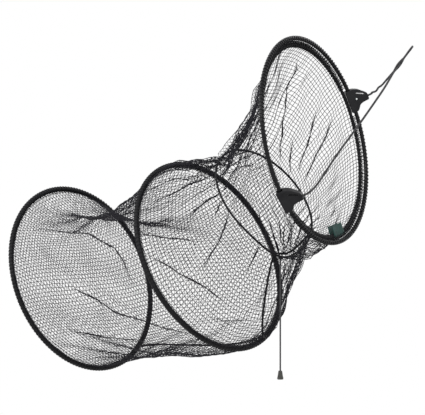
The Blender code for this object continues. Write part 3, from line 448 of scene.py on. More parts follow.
def steady_normals(path):
    """Normals along a path that turn as little as they can."""
    along = unit(np.gradient(path, axis=0))
    start = np.array((0.0, 0.0, 1.0))
    if abs(along[0] @ start) > 0.9:
        start = np.array((1.0, 0.0, 0.0))
    normal = unit(start - along[0] * (along[0] @ start))
    normals = [normal]
    for direction in along[1:]:
        normal = unit(normals[-1] - direction * (normals[-1] @ direction))
        normals.append(normal)
    return np.array(normals)


def smooth_route(points, spacing):
    """Points at a steady spacing on a smooth curve through the route's own points."""
    points = [np.array(point, float) for point in points]
    ends = [points[0] * 2 - points[1]] + points + [points[-1] * 2 - points[-2]]
    dense = []
    steps = 24
    for index in range(1, len(ends) - 2):
        before, start, stop, after = ends[index - 1:index + 3]
        for part in range(steps):
            t = part / steps
            dense.append(0.5 * (2 * start + (stop - before) * t
                                + (2 * before - 5 * start + 4 * stop - after) * t ** 2
                                + (3 * start - before - 3 * stop + after) * t ** 3))
    dense.append(points[-1])
    return respaced(np.array(dense), spacing)


def walked(points):
    """Length of a line up to each of its points."""
    return np.concatenate([[0], np.cumsum(np.linalg.norm(np.diff(points, axis=0), axis=1))])


def respaced(points, spacing):
    """The same line with its points at a steady spacing."""
    lengths = walked(points)
    count = max(2, round(lengths[-1] / spacing))
    goals = np.linspace(0, lengths[-1], count + 1)
    return np.stack([np.interp(goals, lengths, points[:, axis]) for axis in range(3)], axis=1)


def path_length(points):
    """Length of a line."""
    return float(np.linalg.norm(np.diff(points, axis=0), axis=1).sum())


# Materials

def principled(name, colour, roughness, metallic=0.0):
    """Material with its shader and node tree."""
    made = bpy.data.materials.new(name)
    made.use_nodes = True
    nodes, links = made.node_tree.nodes, made.node_tree.links
    shader = nodes["Principled BSDF"]
    shader.inputs["Base Color"].default_value = (*colour, 1)
    shader.inputs["Roughness"].default_value = roughness
    shader.inputs["Metallic"].default_value = metallic
    return made, nodes, links, shader


def noise(nodes, links, place, scale, detail):
    """Noise over the surface."""
    made = nodes.new("ShaderNodeTexNoise")
    made.inputs["Scale"].default_value = scale
    made.inputs["Detail"].default_value = detail
    links.new(place.outputs["Object"], made.inputs["Vector"])
    return made.outputs["Fac"]


def mottle(nodes, links, shader, dark, light, scale):
    """Colour that varies a little over the surface."""
    place = nodes.new("ShaderNodeTexCoord")
    ramp = nodes.new("ShaderNodeValToRGB")
    for element, position, colour in zip(ramp.color_ramp.elements, (0.35, 0.65), (dark, light)):
        element.position = position
        element.color = (*colour, 1)
    links.new(noise(nodes, links, place, scale, 4), ramp.inputs["Fac"])
    links.new(ramp.outputs["Color"], shader.inputs["Base Color"])
    return place


def bumped(nodes, links, shader, height, strength, distance):
    """Relief on the surface from a height."""
    bump = nodes.new("ShaderNodeBump")
    bump.inputs["Strength"].default_value = strength
    bump.inputs["Distance"].default_value = distance
    links.new(height, bump.inputs["Height"])
    links.new(bump.outputs["Normal"], shader.inputs["Normal"])


def make_materials():
    """Every finish, by name."""
    made = {}
    # Name, dark and light colour, roughness, scale of the mottle and of the grain, strength of the grain
    looks = (
        ("thread", (0.006, 0.006, 0.010), (0.014, 0.013, 0.020), 0.62, 90, 2600, 0.25),
        ("hem", (0.003, 0.003, 0.004), (0.008, 0.008, 0.010), 0.50, 160, 1800, 0.5),
        ("twine", (0.004, 0.004, 0.006), (0.012, 0.012, 0.014), 0.50, 220, 2400, 0.4),
        ("tube", (0.004, 0.004, 0.005), (0.009, 0.009, 0.011), 0.24, 14, 420, 0.05),
        ("cord", (0.030, 0.030, 0.032), (0.066, 0.066, 0.070), 0.74, 300, 2200, 0.5),
        ("clip", (0.010, 0.010, 0.012), (0.017, 0.017, 0.019), 0.36, 60, 900, 0.12),
        ("bell", (0.036, 0.036, 0.032), (0.060, 0.060, 0.052), 0.46, 120, 1000, 0.12),
        ("spigot", (0.50, 0.50, 0.47), (0.60, 0.60, 0.56), 0.45, 80, 800, 0.10),
    )
    for name, dark, light, roughness, scale, grain, relief in looks:
        material, nodes, links, shader = principled(name, light, roughness)
        if name in ("thread", "hem", "twine", "tube", "clip"):
            shader.inputs["Specular IOR Level"].default_value = 0.22
        place = mottle(nodes, links, shader, dark, light, scale)
        bumped(nodes, links, shader, noise(nodes, links, place, grain, 2), relief, GRAIN_DEPTH)
        made[name] = material
    material, nodes, links, shader = principled("screw", (0.66, 0.69, 0.68), 0.26, 1.0)
    place = mottle(nodes, links, shader, (0.52, 0.55, 0.54), (0.72, 0.75, 0.74), 500)
    bumped(nodes, links, shader, noise(nodes, links, place, 2600, 2), 0.15, SCREW_GRAIN_DEPTH)
    made["screw"] = material
    made["label"] = woven()
    return made


def woven():
    """Blank woven tape, ribbed both ways."""
    material, nodes, links, shader = principled("label", (0.003, 0.046, 0.038), 0.72)
    shader.inputs["Sheen Weight"].default_value = 0.05
    place = mottle(nodes, links, shader, (0.001, 0.030, 0.025), (0.004, 0.062, 0.050), 240)
    both = nodes.new("ShaderNodeMath")
    both.operation = "MULTIPLY"
    for slot_number, direction in enumerate(("X", "Z")):
        ribs = nodes.new("ShaderNodeTexWave")
        ribs.inputs["Scale"].default_value = 520
        ribs.bands_direction = direction
        links.new(place.outputs["Object"], ribs.inputs["Vector"])
        links.new(ribs.outputs["Fac"], both.inputs[slot_number])
    bumped(nodes, links, shader, both.outputs[0], 0.5, WEAVE_DEPTH)
    return material


def finish_with(made, material):
    """Gives an object its material."""
    made.data.materials.clear()
    made.data.materials.append(MATERIALS[material])
    return made


# Hoops, hems and lacing

def ring_tube(name, ring, hoop_radius):
    """Plastic tube bent to a ring, open at its joint, with its bore."""
    half_gap = JOINT_GAP / 2 / hoop_radius
    angles = np.linspace(JOINT_ANGLE + half_gap, JOINT_ANGLE + TURN - half_gap, RING_POINTS)
    path = ring.at(angles, hoop_radius)[None]
    normals = ring.outward(angles)[None]
    sides = TUBE_SIDES
    outer, outer_faces = tube_arrays(path, normals, TUBE_RADIUS, sides)
    inner, inner_faces = tube_arrays(path, normals, TUBE_BORE_RADIUS, sides)
    base = len(outer)
    last = base - sides
    steps = np.arange(sides)
    after = (steps + 1) % sides
    first_end = np.stack([steps, after, after + base, steps + base], axis=1)[:, ::-1]
    last_end = np.stack([steps + last, after + last, after + last + base, steps + last + base], axis=1)
    faces = np.concatenate([outer_faces[:, ::-1], inner_faces + base, first_end[:, ::-1], last_end[:, ::-1]])
    made = mesh_object(name, np.concatenate([outer, inner]), faces)
    return finish_with(made, "tube")


def whipping(ring, centre_radius, axial, radius, start, stop, phase=0.0):
    """Helix of twine round a ring's tube or rope, from one angle to another."""
    turns = max(2, round(abs(stop - start) * centre_radius / STITCH_PITCH))
    count = turns * WHIPPING_POINTS + 1
    angles = np.linspace(start, stop, count)
    roll = phase + TURN * np.arange(count) / WHIPPING_POINTS
    centre = ring.at(angles, centre_radius, axial)
    around = np.cos(roll)[:, None] * ring.outward(angles) + np.sin(roll)[:, None] * ring.axis
    lifted = centre + around * (radius + TWINE_RADIUS * TWINE_LIFT_SHARE)
    return tube_arrays(lifted[None], around[None], TWINE_RADIUS)


def rope_ring(ring, centre_radius, axial, radius):
    """Rope of rolled netting, swelling between its whippings."""
    count = round(TURN * centre_radius / STITCH_PITCH) * ROPE_STEPS
    angles = np.linspace(0, TURN, count, endpoint=False)
    wave = radius + ROPE_SWELL * np.cos(angles * count / ROPE_STEPS)
    path = ring.at(angles, centre_radius, axial)[None]
    return tube_arrays(path, ring.outward(angles)[None], wave[None], ROPE_SIDES, closed=True)


def hoops():
    """The three tubes, the hems round them and their whippings."""
    for name, ring, radius in (("mouth", MOUTH, MOUTH_HOOP_RADIUS), ("middle", MIDDLE, HOOP_RADIUS),
                               ("end", END, HOOP_RADIUS)):
        tube = ring_tube(name + "_tube", ring, radius)
        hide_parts(name + "_hoop")
        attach(tube, name)
    for name, ring in (("middle", MIDDLE), ("end", END)):
        sleeve = rope_ring(ring, HOOP_RADIUS, 0.0, SLEEVE_RADIUS - SLEEVE_SINK)
        made = finish_with(mesh_object(name + "_sleeve", *sleeve), "hem")
        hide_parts(name + "_hem")
        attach(made, name)
        twine = [whipping(ring, HOOP_RADIUS, 0.0, SLEEVE_RADIUS, 0.0, TURN),
                 whipping(ring, HOOP_RADIUS, 0.0, SLEEVE_RADIUS, TURN, 0.0, 1.0),
                 zigzag(ring, HOOP_RADIUS - HEM_STITCH_START, HOOP_RADIUS - HEM_STITCH_END,
                        HEM_STITCH_SIDE, HEM_STITCH_PITCH)]
        wound = finish_with(mesh_object(name + "_whipping", *join_arrays(twine)), "twine")
        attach(wound, name)


LACED_RUNS = (("lower", CLIP_B_ANGLE + CLIP_MARGIN_ANGLE, CLIP_A_ANGLE - CLIP_MARGIN_ANGLE),
              ("upper", CLIP_A_ANGLE + CLIP_MARGIN_ANGLE, CLIP_B_ANGLE + TURN - CLIP_MARGIN_ANGLE))


def mouth_hem():
    """Rope of rolled netting inside and behind the mouth hoop, whipped and stitched on between the clips."""
    centre_radius = MOUTH_HOOP_RADIUS - HEM_INSET
    rope = rope_ring(MOUTH, centre_radius, -HEM_SETBACK, HEM_RADIUS - ROPE_SWELL)
    made = finish_with(mesh_object("mouth_rope", *rope), "hem")
    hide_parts("mouth_hem")
    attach(made, "mouth")
    twine = []
    for _name, start, stop in LACED_RUNS:
        twine.append(whipping(MOUTH, centre_radius, -HEM_SETBACK, HEM_RADIUS, start, stop, 2.0))
        for side in (0, SELVAGE_SIDE):
            twine.append(zigzag(MOUTH, MOUTH_HOOP_RADIUS - SELVAGE_START, MOUTH_HOOP_RADIUS - SELVAGE_END,
                                -HEM_SETBACK / 2 - side, SELVAGE_PITCH, start, stop))
    wound = finish_with(mesh_object("mouth_rope_whipping", *join_arrays(twine)), "twine")
    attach(wound, "mouth")


def lacing():
    """Stitches of twine round hoop and hem together, in a run under the mouth and one over it."""
    outline = lacing_outline()
    for name, start, stop in LACED_RUNS:
        stitches = round((stop - start) * MOUTH_HOOP_RADIUS / STITCH_PITCH)
        count = stitches * len(outline) + 1
        angles = np.linspace(start, stop, count)
        places = outline[np.arange(count) % len(outline)]
        path = MOUTH.at(angles, MOUTH_HOOP_RADIUS + places[:, 0], places[:, 1])
        normals = MOUTH.tangent(angles)
        arrays = tube_arrays(path[None], normals[None], TWINE_RADIUS * LACING_TWINE_SHARE, LACING_SIDES)
        made = finish_with(mesh_object("lacing_" + name, *arrays), "twine")
        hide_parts("mouth_lacing_" + name)
        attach(made, "mouth")


def lacing_outline():
    """One stitch round hoop and hem, as rows of radial and axial offsets from the hoop's centreline."""
    lean = math.atan2(-HEM_SETBACK, -HEM_INSET)
    points = []
    for centre, tube, middle in (((0, 0), TUBE_RADIUS, lean + math.pi),
                                 ((-HEM_INSET, -HEM_SETBACK), HEM_RADIUS, lean)):
        reach = tube + TWINE_RADIUS * LACING_REACH_SHARE
        for turn in np.linspace(middle - math.pi / 2, middle + math.pi / 2, LACING_ARC_POINTS):
            points.append((centre[0] + reach * math.cos(turn), centre[1] + reach * math.sin(turn)))
    return np.array(points)


# Netting

def away_from(middle, angles):
    """Angles from a middle one, between minus and plus half a turn."""
    return (angles - middle + math.pi) % TURN - math.pi


def throat_radius(angles):
    """Radius of the draw cord's loop, pulled out at the knot."""
    away = away_from(KNOT_ANGLE, angles)
    return THROAT_RADIUS + KNOT_PULL * np.exp(-(away / KNOT_PULL_ANGLE) ** 2)


class Section:
    """A length of netting between two rings."""

    def __init__(self, start, start_radius, start_axial, stop, stop_radius, stop_axial, pull, bag, sag=0.0):
        self.start, self.start_radius, self.start_axial = start, start_radius, start_axial
        self.stop, self.stop_radius, self.stop_axial = stop, stop_radius, stop_axial
        self.pull, self.bag, self.sag = pull, bag, sag

    def points(self, angles, shares):
        """Points at arrays of angles and shares of the same shape."""
        t = shares[..., None]
        first = self.start.at(angles, self.start_radius(angles), self.start_axial)
        last = self.stop.at(angles, self.stop_radius(angles), self.stop_axial)
        place = (first * (2 * t ** 3 - 3 * t ** 2 + 1)
                 - self.start.axis * self.pull * (t ** 3 - 2 * t ** 2 + t)
                 + last * (3 * t ** 2 - 2 * t ** 3) - self.stop.axis * self.pull * (t ** 3 - t ** 2))
        outward = unit(self.start.outward(angles) * (1 - t) + self.stop.outward(angles) * t)
        drop = np.where(outward[..., 2] > 0, self.sag, self.bag) * outward[..., 2] ** 2
        place[..., 2] -= drop * 4 * shares * (1 - shares)
        return place

    def grid(self, rows, gathered_at):
        """Angle and share of each knot, at one pitch from the hoop and then gathered at the draw cord."""
        columns = NET_COLUMNS
        angles = TURN * np.arange(columns) / columns
        dense_shares = np.linspace(0, 1, 65)
        wide_angles, wide_shares = np.meshgrid(angles, dense_shares)
        dense = self.points(wide_angles, wide_shares)
        steps = np.linalg.norm(np.diff(dense, axis=0), axis=2)
        lengths = np.concatenate([np.zeros((1, columns)), np.cumsum(steps, axis=0)])
        shares = np.empty((rows + 1, columns))
        order = np.arange(rows + 1)
        for column in range(columns):
            whole_length = lengths[-1, column]
            if gathered_at is None:
                goals = np.linspace(0, whole_length, rows + 1)
            else:
                goals = np.minimum(order * NET_PITCH, whole_length - GATHERED_PITCH * (rows - order))
            if gathered_at == 0:
                goals = whole_length - goals[::-1]
            shares[:, column] = np.interp(goals, lengths[:, column], dense_shares)
        return np.broadcast_to(angles, shares.shape), shares


def surface_normals(points):
    """Inward normals of a closed tube of knots."""
    around = np.roll(points, -1, axis=1) - np.roll(points, 1, axis=1)
    along = np.gradient(points, axis=0)
    return unit(np.cross(around, along))


def ripples(angles, shares, seed):
    """Low waves over the netting, as a height for each knot."""
    height = np.zeros_like(shares)
    for index, (turns, rise) in enumerate(WAVES):
        phase = seed * 1.7 + index * 2.3
        height += np.cos(turns * angles + rise * TURN * shares + phase) / (1 + index * 0.5)
    return height * np.sin(math.pi * np.clip(shares, 0, 1)) ** WAVE_FADE


def nearest_on(points, line):
    """Foot of each point on a line of straight pieces, its distance and how far along the line it is."""
    best = np.full(points.shape[:-1], np.inf)
    foot = np.zeros_like(points)
    along = np.zeros_like(best)
    for index, (start, stop) in enumerate(zip(line, line[1:])):
        step = stop - start
        share = np.clip(((points - start) @ step) / (step @ step), 0, 1)
        place = start + share[..., None] * step
        distance = np.linalg.norm(points - place, axis=-1)
        nearer = distance < best
        best = np.where(nearer, distance, best)
        foot[nearer] = place[nearer]
        along = np.where(nearer, (index + share) / (len(line) - 1), along)
    return foot, best, along


def creased(section, angles, shares, creases):
    """Angles and shares drawn in towards each crease, and how deep each knot lies in the creases."""
    length = path_length(section.points(np.zeros(33), np.linspace(0, 1, 33)))
    scale = np.array((HOOP_RADIUS, length))
    flat = np.stack([angles, shares], axis=-1) * scale
    depth = np.zeros_like(shares)
    for crease in creases:
        line = np.array([(math.radians(angle), share) for angle, share in crease]) * scale
        for lap in (-TURN, 0, TURN):
            moved = line + (lap * scale[0], 0)
            foot, distance, along = nearest_on(flat, moved)
            fade = np.clip(np.minimum(along, 1 - along) * CREASE_FADE_TIMES + CREASE_END_SHARE, 0, 1)
            grip = np.exp(-(distance / CREASE_WIDTH) ** 2) * fade
            flat = foot + (flat - foot) * (1 - CREASE_PINCH_SHARE * grip)[..., None]
            depth += grip
    flat = flat / scale
    return flat[..., 0], np.clip(flat[..., 1], 0, 1), np.minimum(depth, CREASE_DEPTH_LIMIT)


def pleats(angles, shares, gathered_at):
    """Height of the pleats that the draw cord makes, fading away from the gathered end."""
    arch = np.sin(math.pi * np.clip(shares, 0, 1))
    reach = np.exp(-np.abs(shares - gathered_at) / PLEAT_REACH_SHARE) * arch ** PLEAT_FADE
    slack = np.exp(-(away_from(SLACK_ANGLE, angles) / SLACK_SPREAD) ** 2)
    reach = reach * (1 + SLACK_TIMES * slack)
    height = np.zeros_like(shares)
    for index, turns in enumerate(PLEAT_TURNS):
        height += np.cos(turns * angles + 1.9 * index + 1.3 * np.sin(3 * angles + index))
    inset = SLACK_INSET * slack * arch if gathered_at == 1 else 0
    return PLEAT_HEIGHT * height * reach + inset


def inward(section, angles, shares):
    """Inward normals of a section at any angles and shares."""
    step = 0.01
    around = section.points(angles + step, shares) - section.points(angles - step, shares)
    ahead, behind = np.minimum(shares + step, 1), np.maximum(shares - step, 0)
    along = section.points(angles, ahead) - section.points(angles, behind)
    return unit(np.cross(around, along))


def lie(angles, shares, seed, gathered_at):
    """How far in from its plain curve the netting lies, from its waves, its pleats and its own weight."""
    height = NET_WAVE * ripples(angles, shares, seed)
    if gathered_at is not None:
        return height + pleats(angles, shares, gathered_at)
    upper = np.clip(np.cos(angles), 0, 1) ** 2
    lower = np.clip(-np.cos(angles), 0, 1) ** 2
    height += SHOULDER_SAG * upper * HUMP_TIMES * shares ** 2 * (1 - shares)
    return height + BELLY_LIFT * lower * np.sin(math.pi * shares)


def crease_threads(section, creases, seed, gathered_at):
    """Threads of the doubled netting at the edge of each crease, wandering a little as they go."""
    parts = []
    for number, crease in enumerate(creases):
        turns = np.radians([angle for angle, _share in crease])
        shares = np.array([share for _angle, share in crease])
        steps = np.linspace(0, len(crease) - 1, CREASE_STEPS * (len(crease) - 1) + 1)
        index = np.arange(len(crease))
        angles, along = np.interp(steps, index, turns), np.interp(steps, index, shares)
        for shift, phase in CREASE_STRANDS:
            wander = shift + CREASE_WANDER * np.sin(steps * 5.3 + phase + number)
            turned = angles + wander / HOOP_RADIUS
            normals = inward(section, turned, along)
            depth = lie(turned, along, seed, gathered_at) - CREASE_DEPTH
            depth -= CREASE_WAVER * np.cos(steps * 4.1 + phase)
            path = section.points(turned, along) + normals * depth[:, None]
            taper = np.clip(np.minimum(steps, steps[-1] - steps) * 1.5, CREASE_END_SHARE, 1)
            radius = THREAD_RADIUS * CREASE_THREAD_SHARE * taper
            parts.append(tube_arrays(path[None], normals[None], radius[None]))
    return parts


def row_runs(points, normals, gathered):
    """A ring of netting as it shows: whole, or broken off where it is gathered up at the draw cord."""
    if not gathered.any():
        return [tube_arrays(points[None], normals[None], THREAD_RADIUS, closed=True)]
    parts = []
    start = int(np.flatnonzero(gathered)[0])
    run = []
    for column in (np.arange(len(gathered) + 1) + start) % len(gathered):
        if not gathered[column]:
            run.append(column)
            continue
        if len(run) > 2:
            parts.append(tube_arrays(points[run][None], normals[run][None], THREAD_RADIUS))
        run = []
    return parts


def net_piece(name, section, rows, seed, creases, gathered_at):
    """Square mesh of threads over a section of netting, with its waves, pleats and creases."""
    chance = np.random.default_rng(seed)
    angles, shares = section.grid(rows, gathered_at)
    steps = np.linalg.norm(np.diff(section.points(angles, shares), axis=0), axis=2)
    gaps = np.minimum(np.concatenate([steps[:1], steps]), np.concatenate([steps, steps[-1:]]))
    gathered = gaps < 2 * GATHERED_PITCH
    gathered[0] = False
    gathered[-1] = False
    angles = angles + chance.normal(0, SCATTER_ANGLE, shares.shape)
    angles, shares, depth = creased(section, angles, shares, creases)
    points = section.points(angles, shares)
    normals = surface_normals(points)
    height = lie(angles, shares, seed, gathered_at) - CREASE_DEPTH * depth
    height += chance.normal(0, SCATTER_HEIGHT, shares.shape) * (0.5 + depth)
    height = np.where(gathered, height * GATHERED_HEIGHT_SHARE, height)
    height[0] = 0
    height[-1] = 0
    points = points + normals * height[..., None]
    normals = surface_normals(points)
    parts = [tube_arrays(points.transpose(1, 0, 2), normals.transpose(1, 0, 2), THREAD_RADIUS)]
    for row in range(rows + 1):
        parts += row_runs(points[row], normals[row], gathered[row])
    parts += crease_threads(section, creases, seed, gathered_at)
    made = mesh_object(name, *join_arrays(parts))
    return finish_with(made, "thread")


def zigzag(ring, outer, inner, axial, pitch, start=0.0, stop=TURN):
    """Stitching that runs to and fro between two radii beside a hoop, from one angle to another."""
    count = round((stop - start) * inner / pitch) * 2
    angles = np.linspace(start, stop, count)
    radius = np.where(np.arange(count) % 2 == 0, outer, inner)
    path = ring.at(angles, radius, axial)
    normals = np.broadcast_to(ring.axis, path.shape)
    return tube_arrays(path[None], normals[None], TWINE_RADIUS * ZIGZAG_TWINE_SHARE)


def label():
    """Blank folded label hooked over the hem, its free end leaning towards the hoop's far side."""
    turns = np.linspace(-math.pi / 2, math.pi / 2, LABEL_BEND_POINTS)
    middle = LABEL_ANGLE + LABEL_SHIFT_ANGLE
    sides = np.linspace(-1, 1, LABEL_COLUMNS)
    layers = []
    for reach in (HEM_RADIUS + LABEL_GAP + LABEL_THICKNESS, HEM_RADIUS + LABEL_GAP):
        outline = [(-HEM_INSET - LABEL_LEG, -HEM_SETBACK - reach, 1.0)]
        for turn in turns:
            outline.append((-HEM_INSET + reach * math.cos(turn), -HEM_SETBACK + reach * math.sin(turn), 0.0))
        outline += [(-HEM_INSET - LABEL_LEG, -HEM_SETBACK + reach, 1.0)]
        for radial, axial, free in outline:
            angles = middle + sides * LABEL_HALF_WIDTH / MOUTH_HOOP_RADIUS
            curl = free * LABEL_CURL * (sides ** 2 + LABEL_CURL_TWIST_SHARE * sides)
            layers.append(MOUTH.at(angles, MOUTH_HOOP_RADIUS + radial, axial + curl)
                          + MOUTH.tangent(angles) * free * LABEL_LEAN)
    grid = np.array(layers).reshape(2, -1, len(sides), 3)
    index = np.arange(grid[..., 0].size).reshape(grid.shape[:3])
    faces = []
    for layer, flip in ((0, 1), (1, -1)):
        corners = np.stack([index[layer, :-1, :-1], index[layer, 1:, :-1], index[layer, 1:, 1:],
                            index[layer, :-1, 1:]], axis=-1).reshape(-1, 4)
        faces.append(corners[:, ::flip])
    for edge in (index[:, :, 0], index[:, ::-1, -1], index[:, 0, ::-1], index[:, -1]):
        faces.append(np.stack([edge[0, :-1], edge[0, 1:], edge[1, 1:], edge[1, :-1]], axis=-1)[:, ::-1])
    made = finish_with(mesh_object("label_cloth", grid, np.concatenate(faces)), "label")
    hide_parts("label_tag")
    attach(made, "mouth")


def whole(radius):
    """Radius that is the same all round."""
    return lambda angles: radius


def inside_cord(angles):
    """Radius of the netting inside the draw cord."""
    return throat_radius(angles) - DRAW_CORD_RADIUS


MOUTH_SECTION = Section(MOUTH, whole(MOUTH_HOOP_RADIUS - HEM_INSET), -HEM_SETBACK,
                        THROAT, inside_cord, 0.0, MOUTH_PULL, MOUTH_BAG)
THROAT_SECTION = Section(THROAT, inside_cord, 0.0, MIDDLE, whole(HOOP_RADIUS), 0.0, THROAT_PULL, THROAT_BAG)
BODY_SECTION = Section(MIDDLE, whole(HOOP_RADIUS), 0.0, END, whole(HOOP_RADIUS), 0.0,
                       BODY_PULL, BODY_BAG, BODY_SAG)


def blend_between(made, first_body, first, first_radius, second_body, second, second_radius):
    """Bakes the piece's placement into its mesh."""
    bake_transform(made)


# The end hoop counts as the smaller one
LESSER_END_SHARE = 0.999
MOUTH_FOLD = ("mouth", MOUTH, MOUTH_HOOP_RADIUS, "throat", THROAT, THROAT_RADIUS)
THROAT_FOLD = ("throat", THROAT, THROAT_RADIUS, "middle", MIDDLE, HOOP_RADIUS)
BODY_FOLD = ("middle", MIDDLE, HOOP_RADIUS, "end", END, HOOP_RADIUS * LESSER_END_SHARE)


def nets():
    """The three lengths of the netting tube."""
    for seed, name, section, rows, creases, gathered_at, fold in (
            (1, "mouth", MOUTH_SECTION, MOUTH_ROWS, MOUTH_CREASES, 1.0, MOUTH_FOLD),
            (2, "throat", THROAT_SECTION, THROAT_ROWS, THROAT_CREASES, 0.0, THROAT_FOLD),
            (3, "body", BODY_SECTION, BODY_ROWS, BODY_CREASES, None, BODY_FOLD)):
        made = net_piece(name + "_mesh", section, rows, seed, creases, gathered_at)
        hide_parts(name + "_net")
        blend_between(made, *fold)


def end_net():
    """Flat mesh across the end hoop, sheared a little as it was pulled when it was sewn in."""
    reach = HOOP_RADIUS - TUBE_RADIUS * 0.5
    parts = []
    for lean, pitch, radius in END_SETS:
        along = math.cos(lean) * END.side + math.sin(lean) * END.up
        across = -math.sin(lean) * END.side + math.cos(lean) * END.up
        lines = int(reach / pitch)
        for index in range(-lines, lines + 1):
            offset = index * pitch
            half = math.sqrt(reach ** 2 - offset ** 2)
            steps = max(3, round(half / pitch))
            run = np.linspace(-half, half, steps * 2 + 1)
            path = END.centre + run[:, None] * along + offset * across
            away = np.sqrt(run ** 2 + offset ** 2) / reach
            sag = END_WAVE * sum(np.cos(run / length + offset / width) for length, width in END_WAVES)
            path = path + (sag * (1 - away ** 4))[:, None] * END.axis
            normals = np.broadcast_to(END.axis, path.shape)
            parts.append(tube_arrays(path[None], normals[None], radius))
    made = finish_with(mesh_object("end_mesh", *join_arrays(parts)), "thread")
    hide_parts("end_net")
    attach(made, "end")


def seam(name, section, start_angle, stop_angle, fold, bend_share=1.0):
    """Seam rope along the netting, swelling a little at steady steps."""
    shares = np.linspace(0, 1, SEAM_POINTS)
    angles = start_angle + (stop_angle - start_angle) * shares ** bend_share
    path = section.points(angles, shares)
    step = 0.02
    around = section.points(angles + step, shares) - section.points(angles - step, shares)
    normals = unit(np.cross(around, np.gradient(path, axis=0)))
    path = path + normals * SEAM_RADIUS
    wave = SEAM_RADIUS * (1 + SEAM_SWELL_SHARE * np.cos(np.arange(SEAM_POINTS) * SEAM_SWELL_TURN))
    rope = tube_arrays(path[None], normals[None], wave[None], SEAM_SIDES)
    made = finish_with(mesh_object(name + "_rope", *rope), "hem")
    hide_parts(name)
    blend_between(made, *fold)


def seams():
    """Seam rope from the mouth to the closed end."""
    seam("mouth_seam", MOUTH_SECTION, SEAM_MOUTH_ANGLE, SEAM_THROAT_ANGLE, MOUTH_FOLD)
    seam("throat_seam", THROAT_SECTION, SEAM_THROAT_ANGLE, SEAM_MIDDLE_ANGLE, THROAT_FOLD,
         SEAM_THROAT_BEND_SHARE)
    seam("body_seam", BODY_SECTION, SEAM_MIDDLE_ANGLE, SEAM_END_ANGLE, BODY_FOLD)


# Cords

def braided(name, path, radius, material="cord", pitch=BRAID_PITCH):
    """Braided cord along a path, with the relief of its strands."""
    sides = BRAID_SIDES
    fine = respaced(np.asarray(path), radius * BRAID_SPACING_SHARE)
    normals = steady_normals(fine)
    vertices, faces = tube_arrays(fine[None], normals[None], radius, sides)
    rings = vertices.reshape(len(fine), sides, 3)
    turns = 2 * (TURN * np.arange(sides) / sides)[None]
    wound = TURN * walked(fine)[:, None] / pitch
    lift = np.cos(turns + wound) * np.cos(turns - wound)
    outward = rings - fine[:, None]
    rings = fine[:, None] + outward * (BRAID_CORE_SHARE + BRAID_RELIEF_SHARE * np.abs(lift))[..., None]
    vertices = rings.reshape(-1, 3)
    cap_faces = []
    base = len(vertices)
    vertices = np.concatenate([vertices, fine[[0, -1]]])
    for side in range(sides):
        after = (side + 1) % sides
        cap_faces.append((base, after, side, side))
        last = base - sides
        cap_faces.append((base + 1, last + side, last + after, last + after))
    mesh = bpy.data.meshes.new(name)
    polygons = [tuple(face) for face in faces] + [face[:3] for face in cap_faces]
    mesh.from_pydata([tuple(vertex) for vertex in vertices], [], polygons)
    mesh.shade_smooth()
    return finish_with(placed(name, mesh), material), fine


BRIDLE_AXIS = leaning(BRIDLE_LEAN_TURN, BRIDLE_LEAN_TILT)
EYE_SIDE = np.array((-math.sin(BRIDLE_LEAN_TURN), math.cos(BRIDLE_LEAN_TURN), 0.0))
EYE_FRONT = np.cross(BRIDLE_AXIS, EYE_SIDE)


def clip_axes(angle, swing, flip):
    """Centre of a clip in the tube, its direction along the hoop and its nose direction."""
    at = np.array(angle)
    nose = MOUTH.outward(at) * math.cos(swing) + MOUTH.axis * math.sin(swing)
    return MOUTH.at(at, MOUTH_HOOP_RADIUS), MOUTH.tangent(at) * flip, nose


def twist_points(phase):
    """One strand of the pair, winding round the other up to the foot of the hang loop."""
    points = []
    for index in range(TWIST_POINTS):
        share = index / (TWIST_POINTS - 1)
        turn = phase + TURN * TWIST_TURNS * (share - 1)
        down = TWIST_START + (EYE_FOOT + TWIST_STRAIGHT - TWIST_START) * share
        points.append(-BRIDLE_AXIS * down
                      + TWIST_RADIUS * (EYE_SIDE * math.cos(turn) + EYE_FRONT * math.sin(turn)))
    points.append(points[-1] + BRIDLE_AXIS * TWIST_STRAIGHT)
    return points


def eased(path, first, last, times):
    """The same path with its bends rounded between two of its points."""
    path = path.copy()
    for _time in range(times):
        path[first:last] = (path[first - 1:last - 1] + 2 * path[first:last] + path[first + 1:last + 1]) / 4
    return path


def strand(name, clip, route, phase):
    """One side of the bridle, from its clip's nose to the foot of the hang loop."""
    centre, along, nose = clip
    exits = [centre + along * CLIP_NOSE_SHIFT + nose * (CLIP_REACH + out)
             for out in (-BRIDLE_ENTRY, BRIDLE_ENTRY / 2, BRIDLE_ENTRY * 3 / 2)]
    pair = twist_points(phase)
    free = smooth_route(exits[1:] + [np.array(point) for point in route] + pair[:1], CORD_SPACING)
    rough = np.concatenate([exits[:1], free, pair[1:]])
    path = eased(smooth_route(list(rough), STRAND_SPACING), *NOSE_EASE)
    path = eased(path, len(path) - PAIR_EASE[0], len(path) - PAIR_EASE[1], PAIR_EASE[2])
    made, fine = braided(name + "_cord", path, BRIDLE_RADIUS)
    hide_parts(name)
    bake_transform(made)


def hang_loop():
    """Eye at the top of the bridle."""
    points = []
    for turn in np.linspace(*EYE_ARC_ENDS, EYE_ARC_POINTS):
        down = EYE_RADIUS - EYE_RADIUS * math.sin(turn)
        points.append(-BRIDLE_AXIS * down + EYE_SIDE * EYE_RADIUS * math.cos(turn))
    foot = -BRIDLE_AXIS * (EYE_FOOT - JOINT_GAP)
    above = foot + BRIDLE_AXIS * TWIST_STRAIGHT
    apart = EYE_SIDE * TWIST_RADIUS
    route = [foot + apart, above + apart] + points + [above - apart, foot - apart]
    made, fine = braided("hang_loop_cord", smooth_route(route, EYE_SPACING), BRIDLE_RADIUS)
    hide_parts("hang_loop")
    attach(made, "mouth")


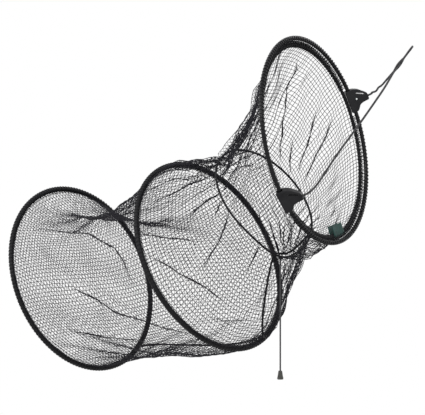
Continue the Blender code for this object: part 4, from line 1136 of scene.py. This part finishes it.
def draw_cord():
    """Loop of cord round the throat."""
    half_gap = KNOT_RADIUS * KNOT_GAP_SHARE / THROAT_RADIUS
    angles = np.linspace(KNOT_ANGLE + half_gap, KNOT_ANGLE + TURN - half_gap, DRAW_CORD_POINTS)
    path = THROAT.at(angles, throat_radius(angles))
    radius = DRAW_CORD_RADIUS * DRAW_CORD_LOOK_SHARE
    made, _fine = braided("draw_cord_loop", path, radius, "twine", DRAW_CORD_BRAID)
    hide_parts("draw_cord")
    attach(made, "throat")


def knot_centre():
    """Middle of the stopper knot."""
    angle = np.array(KNOT_ANGLE)
    return THROAT.at(angle, throat_radius(angle) - DRAW_CORD_RADIUS + KNOT_RADIUS)


def tail():
    """Tail of the draw cord, hanging from the knot to the bell on its end."""
    top = knot_centre() - np.array((0, 0, KNOT_RADIUS + JOINT_GAP))
    path = top - np.outer(np.linspace(0, TAIL_LENGTH, TAIL_POINTS), (0, 0, 1))
    made, fine = braided("tail_line", path, DRAW_CORD_RADIUS, "cord", DRAW_CORD_BRAID)
    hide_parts("tail_cord")
    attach(made, "tail")


def carried_nodes():
    """Finishes of the CAD nodes that stay."""
    finishes = {"clip": ("clip_a_front", "clip_a_back", "clip_b_front", "clip_b_back"),
                "screw": ("clip_a_screw", "clip_b_screw"), "bell": ("cord_end_bell",),
                "twine": ("draw_cord_knot",),
                "spigot": ("mouth_hoop_spigot", "middle_hoop_spigot", "end_hoop_spigot")}
    for material, names in finishes.items():
        for name in names:
            made = frame["nodes"][name]
            if made.material_slots:
                made.material_slots[0].material = MATERIALS[material]
            else:
                made.data.materials.append(MATERIALS[material])


bpy.context.scene.view_settings.view_transform = "Standard"
camera()
world()
for setting in LAMPS:
    lamp(*setting)
floor()
MATERIALS = make_materials()
CLIP_A = clip_axes(CLIP_A_ANGLE, CLIP_A_SWING, 1)
CLIP_B = clip_axes(CLIP_B_ANGLE, CLIP_B_SWING, -1)
strand("bridle_strand_a", CLIP_A, STRAND_A_ROUTE, math.pi)
strand("bridle_strand_b", CLIP_B, STRAND_B_ROUTE, 0)
hang_loop()
tail()
hoops()
mouth_hem()
lacing()
label()
nets()
end_net()
seams()
draw_cord()
carried_nodes()
